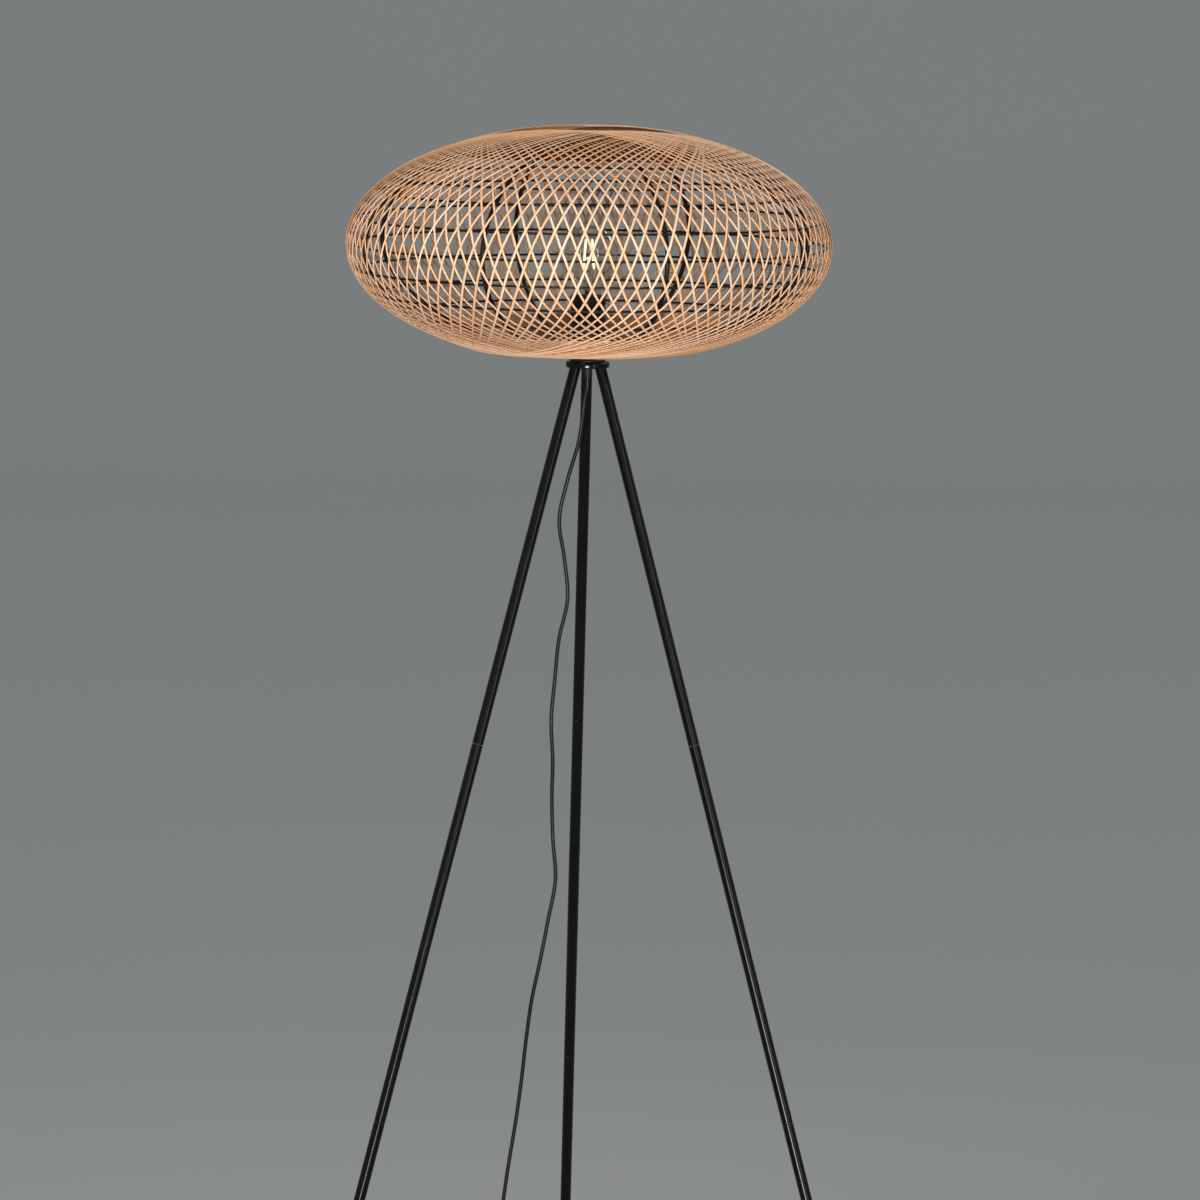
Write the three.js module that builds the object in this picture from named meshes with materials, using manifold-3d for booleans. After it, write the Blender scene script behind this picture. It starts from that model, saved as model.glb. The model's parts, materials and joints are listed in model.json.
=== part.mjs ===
// A tripod floor lamp with a woven rattan shade, in millimetres, +Z up.
// The lamp's axis is upright. The origin is centred under the lamp, on the floor.
import * as THREE from 'three';
import { mergeVertices } from 'three/addons/utils/BufferGeometryUtils.js';
import Module from 'manifold-3d';

const wasm = await Module();
wasm.setup();

// Driving dimensions of the tripod
const legSectionLength = 400;
const legDiameter = 11.5;
const legWall = 1.4;
const legSplay = THREE.MathUtils.degToRad(16.48);
const legCircleRadius = 15;
const legNames = ['back', 'left', 'right'];
const legLevels = ['upper', 'middle', 'lower'];
const studDiameter = 6;
const studLength = 5;
const jointStudLength = 12;
const insertLength = 16;
const footDiameter = 15;
const footGrip = 14;
const footSole = 3.5;

// Driving dimensions of the hub and what is clamped on it
const hubDiameter = 45;
const hubThickness = 6;
const hubEdge = 0.8;
const nippleDiameter = 10;
const nippleBore = 7;
const nippleGrip = 3.3;
const carrierPlateDiameter = 36;
const carrierPlateThickness = 2;
const carrierArmDiameter = 4;
const carrierArmCount = 3;
const carrierTurn = THREE.MathUtils.degToRad(-92.5);
const nutAcrossFlats = 14;
const nutHeight = 4;
const glandDiameter = 8.8;
const glandLength = 11.5;
const glandNeck = 2.2;
const glandTaper = 1.2;

// Driving dimensions of the shade, an ellipsoid cut open above and below. The opening above is
// an oval: its radius is measured sideways and its half depth from front to back.
const shadeRadius = 250;
const shadeHalfHeight = 123.3;
const topOpeningRadius = 98;
const topOpeningHalfDepth = 60;
const bottomOpeningRadius = 108;
const rimRise = 9.5;
const weaveThickness = 3;
const strandWidth = 3.4;
const strandCount = 26;
const crossingRows = 4;
const equatorRate = 0.207;
const quarterTurn = THREE.MathUtils.degToRad(70.5);
const turnExponent = 3.65;
const strandStep = THREE.MathUtils.degToRad(12);
const rowSearchShare = 0.995;
const crownSteps = { above: 4, below: 2 };

// Driving dimensions of the wire frame inside the weave
const ringDiameter = 2.5;
const openingRingDiameter = 3.6;
const ribDiameter = 4.6;
const ribCount = 8;
const ribTurn = THREE.MathUtils.degToRad(-73.65);
const ringHeights = {
  upper_end: 67.5,
  upper_outer: 52.6,
  upper_inner: 25.8,
  middle: -1,
  lower_inner: -27.2,
  lower_outer: -52.3,
  lower_end: -72,
};

// Driving dimensions of the lamp holder and the bulb
const holderDiameter = 36;
const holderHeight = 61;
const holderCapHeight = 27;
const holderNeckDiameter = 17;
const holderWall = 3.6;
const holderNeckDepth = 8;
const holderCapWall = 2.4;
const holderShoulderShare = 0.86;
const holderSlopeShare = 1.45;
const holderBendShare = 2.2;
const holderLiningShare = 1.3;
const insertTop = 33;
const insertHeight = 9;
const shellWall = 0.5;
const shellHeight = 20;
const bulbCapDiameter = 26.4;
const bulbCapHeight = 24;
const bulbCapWall = 0.5;
const bulbContactDiameter = 14;
const bulbContactHeight = 3.4;
const bulbContactTipShare = 0.6;
const bulbDiameter = 60;
const globeLowest = THREE.MathUtils.degToRad(-38);
const globeSteps = 8;
const waistSteps = 3;
const bulbAboveHolder = 72.5;
const bulbNeckDiameter = 25;
const bulbGlassWall = 1;
const bulbNeckInCap = 8;
const stemFootHeight = 3;
const stemShoulderHeight = 6;
const stemDiameter = 8;
const stemHeadThickness = 1;
const filamentCount = 4;
const filamentDiameter = 1.6;
const filamentLength = 30;
const filamentTop = 15.5;
const filamentCircleTop = 4.6;
const filamentCircleFoot = 7.4;

// Driving dimensions of the cord, its switch and its plug
const cordDiameter = 4;
const coilSpacing = 4.7;
const coilOuterRadius = 26.5;
const coilTurnsPerLayer = 2;
const coilStepsPerTurn = 24;
const coilTuck = 1.1;
const coilClimbTurns = 0.5;
const coilApproach = 6;
const coilApproachShares = [0, 0.25, 0.55, 0.85];
const coilGapReach = 16;
const plugLead = 8;
const plugLeadShares = [0.4, 0.75, 1];
const switchLength = 60;
const switchWidth = 22;
const switchHeight = 17;
const switchBaseHeight = 8;
const switchCornerShare = 0.36;
const switchFloorThickness = 2.7;
const rockerLength = 19;
const rockerWidth = 9.4;
const rockerThickness = 6;
const rockerClearance = 0.6;
const rockerCrownShares = { end: 0.75, middle: 0.45 };
const rockerFootShares = { width: 0.33, shoulder: 0.25 };
const rockerPivotDepth = 4.4;
const rockerTilt = THREE.MathUtils.degToRad(8);
const axleDiameter = 3;
const axleLength = 14;
const plugLength = 36;
const plugWidth = 35;
const plugThickness = 13.6;
const plugTail = 11;
const plugBevelShare = 0.125;
const plugAlongShares = { neck: 0.22, shoulder: 0.34, flank: 0.52, corner: 0.86 };
const plugAcrossShares = { neck: 1.1, shoulder: 0.8, flank: 0.92, face: 0.8 };
const pinDiameter = 4;
const pinLength = 19;
const pinPitch = 18.6;

// Clearances
const gap = 0.3;
const overrun = 30;
const cutterSize = 120;
const floorClearance = 0.1;

// Heights that follow from the sizes above
const legRadius = legDiameter / 2;
const legLength = legSectionLength * legLevels.length;
const tubeEndHeight = legRadius * Math.sin(legSplay) + footSole;
const hubBottom = legLength * Math.cos(legSplay) + tubeEndHeight;
const hubTop = hubBottom + hubThickness;
const carrierBottom = hubTop + gap;
const nutBottom = carrierBottom + carrierPlateThickness + gap;
const holderBottom = nutBottom + nutHeight + gap;
const holderTop = holderBottom + holderHeight;
const topLatitude = Math.acos(topOpeningRadius / shadeRadius);
const bottomLatitude = -Math.acos(bottomOpeningRadius / shadeRadius);
const shadeCentre = hubTop + rimRise - shadeHalfHeight * Math.sin(bottomLatitude);

const materials = {
  coatedSteel: { color: 0x151515, roughness: 0.42, metalness: 0.6 },
  frameWire: { color: 0x101010, roughness: 0.5, metalness: 0.5 },
  rattan: { color: 0xd3a174, roughness: 0.7, metalness: 0 },
  rubber: { color: 0x1a1a1a, roughness: 0.85, metalness: 0 },
  blackPlastic: { color: 0x121212, roughness: 0.5, metalness: 0 },
  greyPlastic: { color: 0x2b2b2c, roughness: 0.6, metalness: 0 },
  cordSheath: { color: 0x171717, roughness: 0.45, metalness: 0 },
  brass: { color: 0xb58a4a, roughness: 0.35, metalness: 1 },
  zinc: { color: 0xb9bbbd, roughness: 0.35, metalness: 1 },
  ceramic: { color: 0xe6e2d8, roughness: 0.4, metalness: 0 },
  glass: { color: 0xdfe6e8, roughness: 0.05, metalness: 0 },
  filament: { color: 0xf2c56a, roughness: 0.5, metalness: 0 },
};

const lamp = new THREE.Group();
const axis = new THREE.Group();
lamp.add(axis);

function piece(name, geometry, materialName, parent = axis) {
  const mesh = new THREE.Mesh(geometry, new THREE.MeshStandardMaterial(materials[materialName]));
  mesh.name = name;
  parent.add(mesh);
  return mesh;
}

// Merges what a shape's builder left double, and turns its faces outward
function closed(geometry) {
  const bare = geometry.clone();
  bare.deleteAttribute('normal');
  bare.deleteAttribute('uv');
  const merged = mergeVertices(bare, 1e-4);
  const place = merged.getAttribute('position');
  const index = Array.from(merged.index.array);
  const kept = [];
  const [a, b, c] = [new THREE.Vector3(), new THREE.Vector3(), new THREE.Vector3()];
  let volume = 0;
  for (let i = 0; i < index.length; i += 3) {
    const [p, q, r] = index.slice(i, i + 3);
    if (p === q || q === r || r === p) continue;
    kept.push(p, q, r);
    a.fromBufferAttribute(place, p);
    b.fromBufferAttribute(place, q);
    c.fromBufferAttribute(place, r);
    volume += a.dot(b.cross(c));
  }
  if (volume < 0) kept.reverse();
  merged.setIndex(kept);
  merged.computeVertexNormals();
  return merged;
}

function toSolid(geometry) {
  const shape = closed(geometry);
  return new wasm.Manifold(new wasm.Mesh({
    numProp: 3,
    vertProperties: new Float32Array(shape.getAttribute('position').array),
    triVerts: new Uint32Array(shape.index.array),
  }));
}

function toGeometry(solid) {
  const mesh = solid.getMesh();
  const geometry = new THREE.BufferGeometry();
  geometry.setAttribute('position', new THREE.BufferAttribute(mesh.vertProperties, 3));
  geometry.setIndex(new THREE.BufferAttribute(mesh.triVerts, 1));
  geometry.computeVertexNormals();
  return geometry;
}

// A profile of [radius, height] pairs turned round the upright axis
function turned(profile, sides) {
  const points = profile.map(([radius, height]) => new THREE.Vector2(radius, height));
  return closed(new THREE.LatheGeometry(points, sides).rotateX(Math.PI / 2));
}

function cylinder(radius, height, sides) {
  return closed(new THREE.CylinderGeometry(radius, radius, height, sides).rotateX(Math.PI / 2));
}

// A round wire along a curve
function wire(curve, radius, sides, steps) {
  const section = new THREE.Shape();
  for (let i = 0; i < sides; i += 1) {
    const turn = (2 * Math.PI * i) / sides;
    const [x, y] = [radius * Math.cos(turn), radius * Math.sin(turn)];
    if (i === 0) section.moveTo(x, y);
    else section.lineTo(x, y);
  }
  section.closePath();
  return closed(new THREE.ExtrudeGeometry(section, { steps, extrudePath: curve, bevelEnabled: false }));
}

// Hub: a turned disc with a threaded bore in the middle and three slanted ones for the legs
function hub() {
  const edge = hubDiameter / 2;
  const disc = turned([
    [0, hubBottom],
    [edge - hubEdge, hubBottom],
    [edge, hubBottom + hubEdge],
    [edge, hubTop - hubEdge],
    [edge - hubEdge, hubTop],
    [0, hubTop],
  ], 28);
  let solid = toSolid(disc);
  const bore = cylinder(nippleDiameter / 2 + gap, hubThickness + overrun, 16);
  solid = solid.subtract(toSolid(bore.translate(0, 0, hubBottom)));
  for (let i = 0; i < legNames.length; i += 1) {
    const slot = cylinder(studDiameter / 2 + gap, overrun, 12);
    slot.rotateY(-legSplay);
    slot.translate(legCircleRadius, 0, hubBottom);
    slot.rotateZ(legAzimuth(i));
    solid = solid.subtract(toSolid(slot));
  }
  piece('hub_plate', toGeometry(solid), 'coatedSteel');
}

function legAzimuth(i) {
  return Math.PI / 2 + (2 * Math.PI * i) / legNames.length;
}

// One leg section: a tube with a threaded insert at its foot and a stud at its head.
// Its head is at z = 0 and it hangs down.
function legTube(headStud) {
  const inner = legRadius - legWall;
  const socket = studDiameter / 2 + gap;
  return [
    [0, headStud],
    [studDiameter / 2, headStud],
    [studDiameter / 2, 0],
    [legRadius, 0],
    [legRadius, gap - legSectionLength],
    [socket, gap - legSectionLength],
    [socket, insertLength - legSectionLength],
    [inner, insertLength - legSectionLength],
    [inner, -insertLength],
    [0, -insertLength],
  ];
}

// The hub's underside and the floor, as blocks in the slanted frame of a leg
function levelBlock(side, height) {
  const block = new THREE.BoxGeometry(cutterSize, cutterSize, cutterSize);
  block.translate(0, 0, height + (side * cutterSize) / 2);
  return block.rotateY(legSplay);
}

function legs() {
  for (let i = 0; i < legNames.length; i += 1) {
    const around = new THREE.Group();
    around.rotation.z = legAzimuth(i);
    axis.add(around);
    const slant = new THREE.Group();
    slant.position.set(legCircleRadius, 0, hubBottom);
    slant.rotation.y = -legSplay;
    around.add(slant);
    for (let level = 0; level < legLevels.length; level += 1) {
      let tube = turned(legTube(level === 0 ? studLength : jointStudLength), 10);
      if (level === 0) {
        const collar = toSolid(cylinder(legRadius, studLength, 10));
        const trimmed = collar.subtract(toSolid(levelBlock(1, -gap)));
        tube = toGeometry(toSolid(tube).subtract(toSolid(headRing())).add(trimmed));
      }
      const section = piece(`leg_${legNames[i]}_${legLevels[level]}`, tube, 'coatedSteel', slant);
      section.position.z = -level * legSectionLength;
    }
    foot(legNames[i], slant);
  }
}

// What is trimmed off the slanted head of an upper leg, so that it meets the hub flat
function headRing() {
  const stud = toSolid(cylinder(studDiameter / 2, overrun, 10));
  return toGeometry(toSolid(levelBlock(1, -gap)).subtract(stud));
}

// A rubber cap over the end of the leg, cut level where it stands
function foot(name, slant) {
  const floor = (-hubBottom) / Math.cos(legSplay);
  const rim = footDiameter / 2;
  const hold = legRadius + gap;
  const cap = toSolid(turned([
    [0, floor - overrun],
    [rim, floor - overrun],
    [rim, footGrip - legLength - legWall],
    [rim - legWall, footGrip - legLength],
    [hold, footGrip - legLength],
    [hold, -legLength],
    [0, -legLength],
  ], 18));
  const under = levelBlock(-1, 0).translate(0, 0, floor);
  piece(`foot_${name}`, toGeometry(cap.subtract(toSolid(under))), 'rubber', slant);
}

// A point of the shade: azimuth and latitude on the ellipsoid, and depth under its surface
function shadePoint(azimuth, latitude, depth) {
  const across = Math.cos(latitude) / shadeRadius;
  const up = Math.sin(latitude) / shadeHalfHeight;
  const slope = Math.hypot(across, up);
  const radius = shadeRadius * Math.cos(latitude) - (depth * across) / slope;
  const height = shadeHalfHeight * Math.sin(latitude) - (depth * up) / slope;
  return new THREE.Vector3(
    radius * Math.cos(azimuth),
    radius * Math.sin(azimuth),
    shadeCentre + height,
  );
}

// How far a strand has turned round the axis on its way from the equator to a latitude
function strandTurn(latitude) {
  const end = latitude < 0 ? -bottomLatitude : topLatitude;
  const share = Math.min(1, Math.abs(latitude) / end);
  const straight = equatorRate * Math.abs(latitude);
  const curved = (quarterTurn - equatorRate * end) * (1 - Math.sqrt(1 - share ** turnExponent));
  return Math.sign(latitude) * (straight + curved);
}

// Half of a strand's width, as an azimuth, measured level across it
function halfWidth(latitude) {
  const small = 1e-4;
  const rate = (strandTurn(latitude + small) - strandTurn(latitude - small)) / (2 * small);
  const radius = shadeRadius * Math.cos(latitude);
  const rise = Math.hypot(shadeRadius * Math.sin(latitude), shadeHalfHeight * Math.cos(latitude));
  return ((strandWidth / 2) * Math.hypot(1, (radius * rate) / rise)) / radius;
}

// The latitude between two others where a rising function passes zero
function solve(low, high, rising) {
  let [from, to] = [low, high];
  for (let i = 0; i < 40; i += 1) {
    const middle = (from + to) / 2;
    if (rising(middle) < 0) from = middle;
    else to = middle;
  }
  return (from + to) / 2;
}

// The latitude at which a crown ends
function crownEdge(side, azimuth) {
  if (side < 0) return bottomLatitude;
  const across = Math.cos(azimuth) / topOpeningRadius;
  const along = Math.sin(azimuth) / topOpeningHalfDepth;
  return Math.acos(1 / Math.hypot(across, along) / shadeRadius);
}

// The woven shade: two families of strands that lean opposite ways and cross in rows,
// between an upper and a lower crown where the strands lie closed up side by side
function wovenShade() {
  const pitch = (2 * Math.PI) / strandCount;
  const row = {};
  const [lowest, highest] = [bottomLatitude * rowSearchShare, topLatitude * rowSearchShare];
  for (let m = -crossingRows; m <= crossingRows; m += 1) {
    const aim = (m * pitch) / 2;
    row[m] = solve(lowest, highest, (u) => strandTurn(u) - aim);
  }
  const tipAbove = (m) => solve(row[m], row[m + 1],
    (u) => strandTurn(u) - strandTurn(row[m]) - halfWidth(u));
  const tipBelow = (m) => solve(row[m - 1], row[m],
    (u) => strandTurn(u) - strandTurn(row[m]) + halfWidth(u));
  const positions = [];
  const index = [];
  const known = new Map();
  const fineness = 1e6;

  // Each place has a vertex on the outside and the next one on the inside
  function place(azimuth, latitude) {
    const turn = ((azimuth % (2 * Math.PI)) + 2 * Math.PI) % (2 * Math.PI);
    const whole = Math.round(2 * Math.PI * fineness);
    const key = `${Math.round(turn * fineness) % whole},${Math.round(latitude * fineness)}`;
    if (!known.has(key)) {
      known.set(key, positions.length / 3);
      positions.push(...shadePoint(turn, latitude, 0).toArray());
      positions.push(...shadePoint(turn, latitude, weaveThickness).toArray());
    }
    return known.get(key);
  }
  function face(...corners) {
    for (let i = 1; i + 1 < corners.length; i += 1) {
      index.push(corners[0], corners[i], corners[i + 1]);
      index.push(corners[0] + 1, corners[i + 1] + 1, corners[i] + 1);
    }
  }
  function wall(from, to) {
    index.push(from, to, to + 1, from, to + 1, from + 1);
  }
  const stepsAfter = (m) => Math.max(1, Math.ceil((row[m + 1] - row[m]) / strandStep));

  // The rising sides of a hole, from its lowest place to its widest and on to its highest
  function lowerSide(centre, m, hand) {
    const foot = tipAbove(m - 1);
    const steps = stepsAfter(m - 1);
    return Array.from({ length: steps + 1 }, (_, k) => {
      const u = foot + ((row[m] - foot) * k) / steps;
      const off = k === 0 ? 0 : strandTurn(u) - strandTurn(row[m - 1]) - halfWidth(u);
      return place(centre + hand * off, u);
    });
  }
  function upperSide(centre, m, hand) {
    const head = tipBelow(m + 1);
    const steps = stepsAfter(m);
    return Array.from({ length: steps + 1 }, (_, k) => {
      const u = row[m] + ((head - row[m]) * k) / steps;
      const off = k === steps ? 0 : strandTurn(row[m + 1]) - strandTurn(u) - halfWidth(u);
      return place(centre + hand * off, u);
    });
  }

  for (let m = -crossingRows; m <= crossingRows; m += 1) {
    for (let j = 0; j < strandCount; j += 1) {
      const crossing = (j + (Math.abs(m) % 2) / 2) * pitch;
      const half = halfWidth(row[m]);
      const left = place(crossing - half, row[m]);
      const right = place(crossing + half, row[m]);
      const below = m > -crossingRows ? [place(crossing, tipBelow(m))] : [];
      const above = m < crossingRows ? [place(crossing, tipAbove(m))] : [];
      face(...below, right, ...above, left);

      // The two strands that rise from this crossing
      if (m < crossingRows) {
        for (const hand of [1, -1]) {
          const near = lowerSide(crossing, m + 1, hand);
          const far = upperSide(crossing + (hand * pitch) / 2, m, -hand);
          const [first, second] = hand > 0 ? [near, far] : [far, near];
          for (let k = 0; k + 1 < near.length; k += 1) {
            face(first[k], second[k], second[k + 1], first[k + 1]);
          }
        }
      }

      // The walls of the hole to the right of this crossing
      const centre = crossing + pitch / 2;
      const loop = [];
      if (m > -crossingRows) loop.push(...lowerSide(centre, m, 1).slice(0, -1));
      loop.push(place(centre + pitch / 2 - half, row[m]));
      if (m < crossingRows) {
        loop.push(...upperSide(centre, m, 1).slice(1));
        loop.push(...upperSide(centre, m, -1).reverse().slice(1, -1));
      }
      loop.push(place(centre - pitch / 2 + half, row[m]));
      if (m > -crossingRows) loop.push(...lowerSide(centre, m, -1).reverse().slice(1, -1));
      loop.forEach((from, i) => wall(from, loop[(i + 1) % loop.length]));
    }
  }

  // The crowns, each out to the edge of its opening
  for (const side of [1, -1]) {
    const m = side * crossingRows;
    const half = halfWidth(row[m]);
    const around = [];
    const steps = side > 0 ? crownSteps.above : crownSteps.below;
    const step = (azimuth, k) => place(azimuth,
      row[m] + ((crownEdge(side, azimuth) - row[m]) * k) / steps);
    for (let j = 0; j < strandCount; j += 1) {
      const crossing = (j + (crossingRows % 2) / 2) * pitch;
      around.push(crossing - half, crossing + half);
    }
    for (let i = 0; i < around.length; i += 1) {
      const [from, to] = [around[i], around[(i + 1) % around.length]];
      for (let k = 0; k < steps; k += 1) {
        const corners = [step(from, k), step(to, k), step(to, k + 1), step(from, k + 1)];
        face(...(side > 0 ? corners : corners.reverse()));
      }
      const rim = [step(from, steps), step(to, steps)];
      wall(...(side > 0 ? rim : rim.reverse()));
    }
  }
  const geometry = new THREE.BufferGeometry();
  geometry.setAttribute('position', new THREE.Float32BufferAttribute(positions, 3));
  geometry.setIndex(index);
  piece('woven_shade', closed(geometry), 'rattan');
}

// Depths of the frame's wires under the shade's surface, each seated on the next
const openingRingDepth = weaveThickness + gap + openingRingDiameter / 2;
const ribDepth = openingRingDepth + openingRingDiameter / 2 + gap + ribDiameter / 2;
const ringDepth = ribDepth - ribDiameter / 2 - gap - ringDiameter / 2;

// A wire along a meridian of the shade, with an edge of its section turned outward
function meridianWire(azimuth, latitudes, sides) {
  const aside = new THREE.Vector3(-Math.sin(azimuth), Math.cos(azimuth), 0);
  const positions = [];
  const index = [];
  for (const latitude of latitudes) {
    const centre = shadePoint(azimuth, latitude, ribDepth);
    const outward = shadePoint(azimuth, latitude, 0).sub(centre).normalize();
    for (let i = 0; i < sides; i += 1) {
      const turn = (2 * Math.PI * i) / sides;
      const corner = centre.clone().addScaledVector(outward, (ribDiameter / 2) * Math.cos(turn));
      corner.addScaledVector(aside, (ribDiameter / 2) * Math.sin(turn));
      positions.push(...corner.toArray());
    }
  }
  const last = (latitudes.length - 1) * sides;
  for (let base = 0; base < last; base += sides) {
    for (let i = 0; i < sides; i += 1) {
      const [from, to] = [base + i, base + ((i + 1) % sides)];
      index.push(from, to, to + sides, from, to + sides, from + sides);
    }
  }
  for (let i = 1; i + 1 < sides; i += 1) {
    index.push(0, i + 1, i);
    index.push(last, last + i, last + i + 1);
  }
  const geometry = new THREE.BufferGeometry();
  geometry.setAttribute('position', new THREE.Float32BufferAttribute(positions, 3));
  geometry.setIndex(index);
  return closed(geometry);
}

// A ring round the shade, with an edge of its section turned outward
function ring(name, latitude, depth, diameter) {
  const centre = shadePoint(0, latitude, depth);
  const outward = shadePoint(0, latitude, 0).sub(centre);
  const lean = Math.atan2(outward.z, outward.x);
  const sides = 4;
  const profile = [];
  for (let i = 0; i <= sides; i += 1) {
    const turn = lean + (2 * Math.PI * (i % sides)) / sides;
    const radius = centre.x + (diameter / 2) * Math.cos(turn);
    profile.push([radius, centre.z + (diameter / 2) * Math.sin(turn)]);
  }
  piece(name, turned(profile, ribCount * 4).rotateZ(ribTurn), 'frameWire');
}

function wireFrame() {
  ring('ring_top_opening', topLatitude, openingRingDepth, openingRingDiameter);
  ring('ring_bottom_opening', bottomLatitude, openingRingDepth, openingRingDiameter);
  const crossed = [bottomLatitude, topLatitude];
  for (const [name, height] of Object.entries(ringHeights)) {
    const latitude = solve(bottomLatitude, topLatitude,
      (u) => shadePoint(0, u, ringDepth).z - shadeCentre - height);
    ring(`ring_${name}`, latitude, ringDepth, ringDiameter);
    crossed.push(latitude);
  }

  // The ribs bend at every ring and half way between two rings
  crossed.sort((a, b) => a - b);
  const bends = crossed.flatMap((u, i) => (i === 0 ? [u] : [(crossed[i - 1] + u) / 2, u]));
  for (let i = 0; i < ribCount; i += 1) {
    const azimuth = ribTurn + (2 * Math.PI * i) / ribCount;
    piece(`rib_${i + 1}`, meridianWire(azimuth, bends, 5), 'frameWire');
  }
}

// Three arms from a plate on the hub out to the lower opening ring of the shade
function shadeCarrier() {
  const ringCentre = shadePoint(0, bottomLatitude, openingRingDepth);
  const plate = cylinder(carrierPlateDiameter / 2, carrierPlateThickness, 28);
  let solid = toSolid(plate.translate(0, 0, carrierBottom + carrierPlateThickness / 2));
  const armRadius = carrierArmDiameter / 2;
  const start = new THREE.Vector3(
    carrierPlateDiameter / 2 - armRadius, 0, carrierBottom + armRadius);
  const rise = ringCentre.z - start.z;
  const reach = ringCentre.x - start.x;
  const short = openingRingDiameter / 2 + gap + armRadius * Math.abs(rise / reach);
  const length = Math.hypot(rise, reach) - short;
  for (let i = 0; i < carrierArmCount; i += 1) {
    const arm = cylinder(armRadius, length, 8).translate(0, 0, length / 2);
    arm.rotateY(Math.PI / 2 - Math.atan2(rise, reach));
    arm.translate(start.x, 0, start.z);
    arm.rotateZ(carrierTurn + (2 * Math.PI * i) / carrierArmCount);
    solid = solid.add(toSolid(arm));
  }
  const bore = cylinder(nippleDiameter / 2 + gap, overrun, 16).translate(0, 0, carrierBottom);
  piece('shade_carrier', toGeometry(solid.subtract(toSolid(bore))), 'frameWire');
}

// A ring-shaped profile between two radii, closed on itself
function sleeve(inner, outer, bottom, top) {
  return [[inner, bottom], [outer, bottom], [outer, top], [inner, top], [inner, bottom]];
}

function centreFixings() {
  const nippleTop = holderBottom + holderNeckDepth - gap;
  const nippleFoot = hubTop - nippleGrip;
  piece('threaded_nipple',
    turned(sleeve(nippleBore / 2, nippleDiameter / 2, nippleFoot, nippleTop), 14), 'zinc');
  const nutShape = new THREE.CylinderGeometry(
    nutAcrossFlats / Math.sqrt(3), nutAcrossFlats / Math.sqrt(3), nutHeight, 6).rotateX(Math.PI / 2);
  const nutSolid = toSolid(nutShape.translate(0, 0, nutBottom + nutHeight / 2));
  const hole = cylinder(nippleDiameter / 2 + gap, overrun, 14).translate(0, 0, nutBottom);
  piece('carrier_nut', toGeometry(nutSolid.subtract(toSolid(hole))), 'zinc');
  const bottom = hubBottom - glandLength;
  const head = glandDiameter / 2;
  piece('cord_gland', turned([
    [0, bottom],
    [head - glandTaper, bottom],
    [head, bottom + glandLength / 2],
    [head, hubBottom + glandNeck],
    [0, hubBottom + glandNeck],
  ], 16), 'greyPlastic');
}

// The lamp holder: a domed cap screwed on the nipple, a sleeve, and inside them the terminal
// block that carries the screw shell
function lampHolder() {
  const radius = holderDiameter / 2;
  const capTop = holderBottom + holderCapHeight;
  const neck = holderNeckDiameter / 2;
  const neckBore = nippleDiameter / 2 + gap;
  piece('holder_cap', turned([
    [neckBore, holderBottom],
    [neck, holderBottom],
    [neck, holderBottom + holderNeckDepth],
    [radius * holderShoulderShare, holderBottom + holderNeckDepth * holderSlopeShare],
    [radius, holderBottom + holderNeckDepth * holderBendShare],
    [radius, capTop],
    [radius - holderCapWall, capTop],
    [radius - holderCapWall, holderBottom + holderNeckDepth * holderBendShare],
    [neckBore, holderBottom + holderNeckDepth * holderLiningShare],
    [neckBore, holderBottom],
  ], 18), 'blackPlastic');
  const bore = radius - holderWall;
  piece('holder_sleeve', turned([
    [bore, capTop + gap],
    [radius, capTop + gap],
    [radius, holderTop - hubEdge],
    [radius - hubEdge, holderTop],
    [bore, holderTop],
    [bore, capTop + gap],
  ], 18), 'blackPlastic');
  const blockTop = holderBottom + insertTop;
  const block = bore - gap;
  piece('holder_insert', turned([
    [0, blockTop - insertHeight],
    [block, blockTop - insertHeight],
    [block, blockTop],
    [0, blockTop],
  ], 18), 'ceramic');
  const shellInner = bore - gap - shellWall;
  const shellBottom = blockTop + gap;
  piece('holder_screw_shell',
    turned(sleeve(shellInner, bore - gap, shellBottom, shellBottom + shellHeight), 18), 'brass');
}

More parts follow.
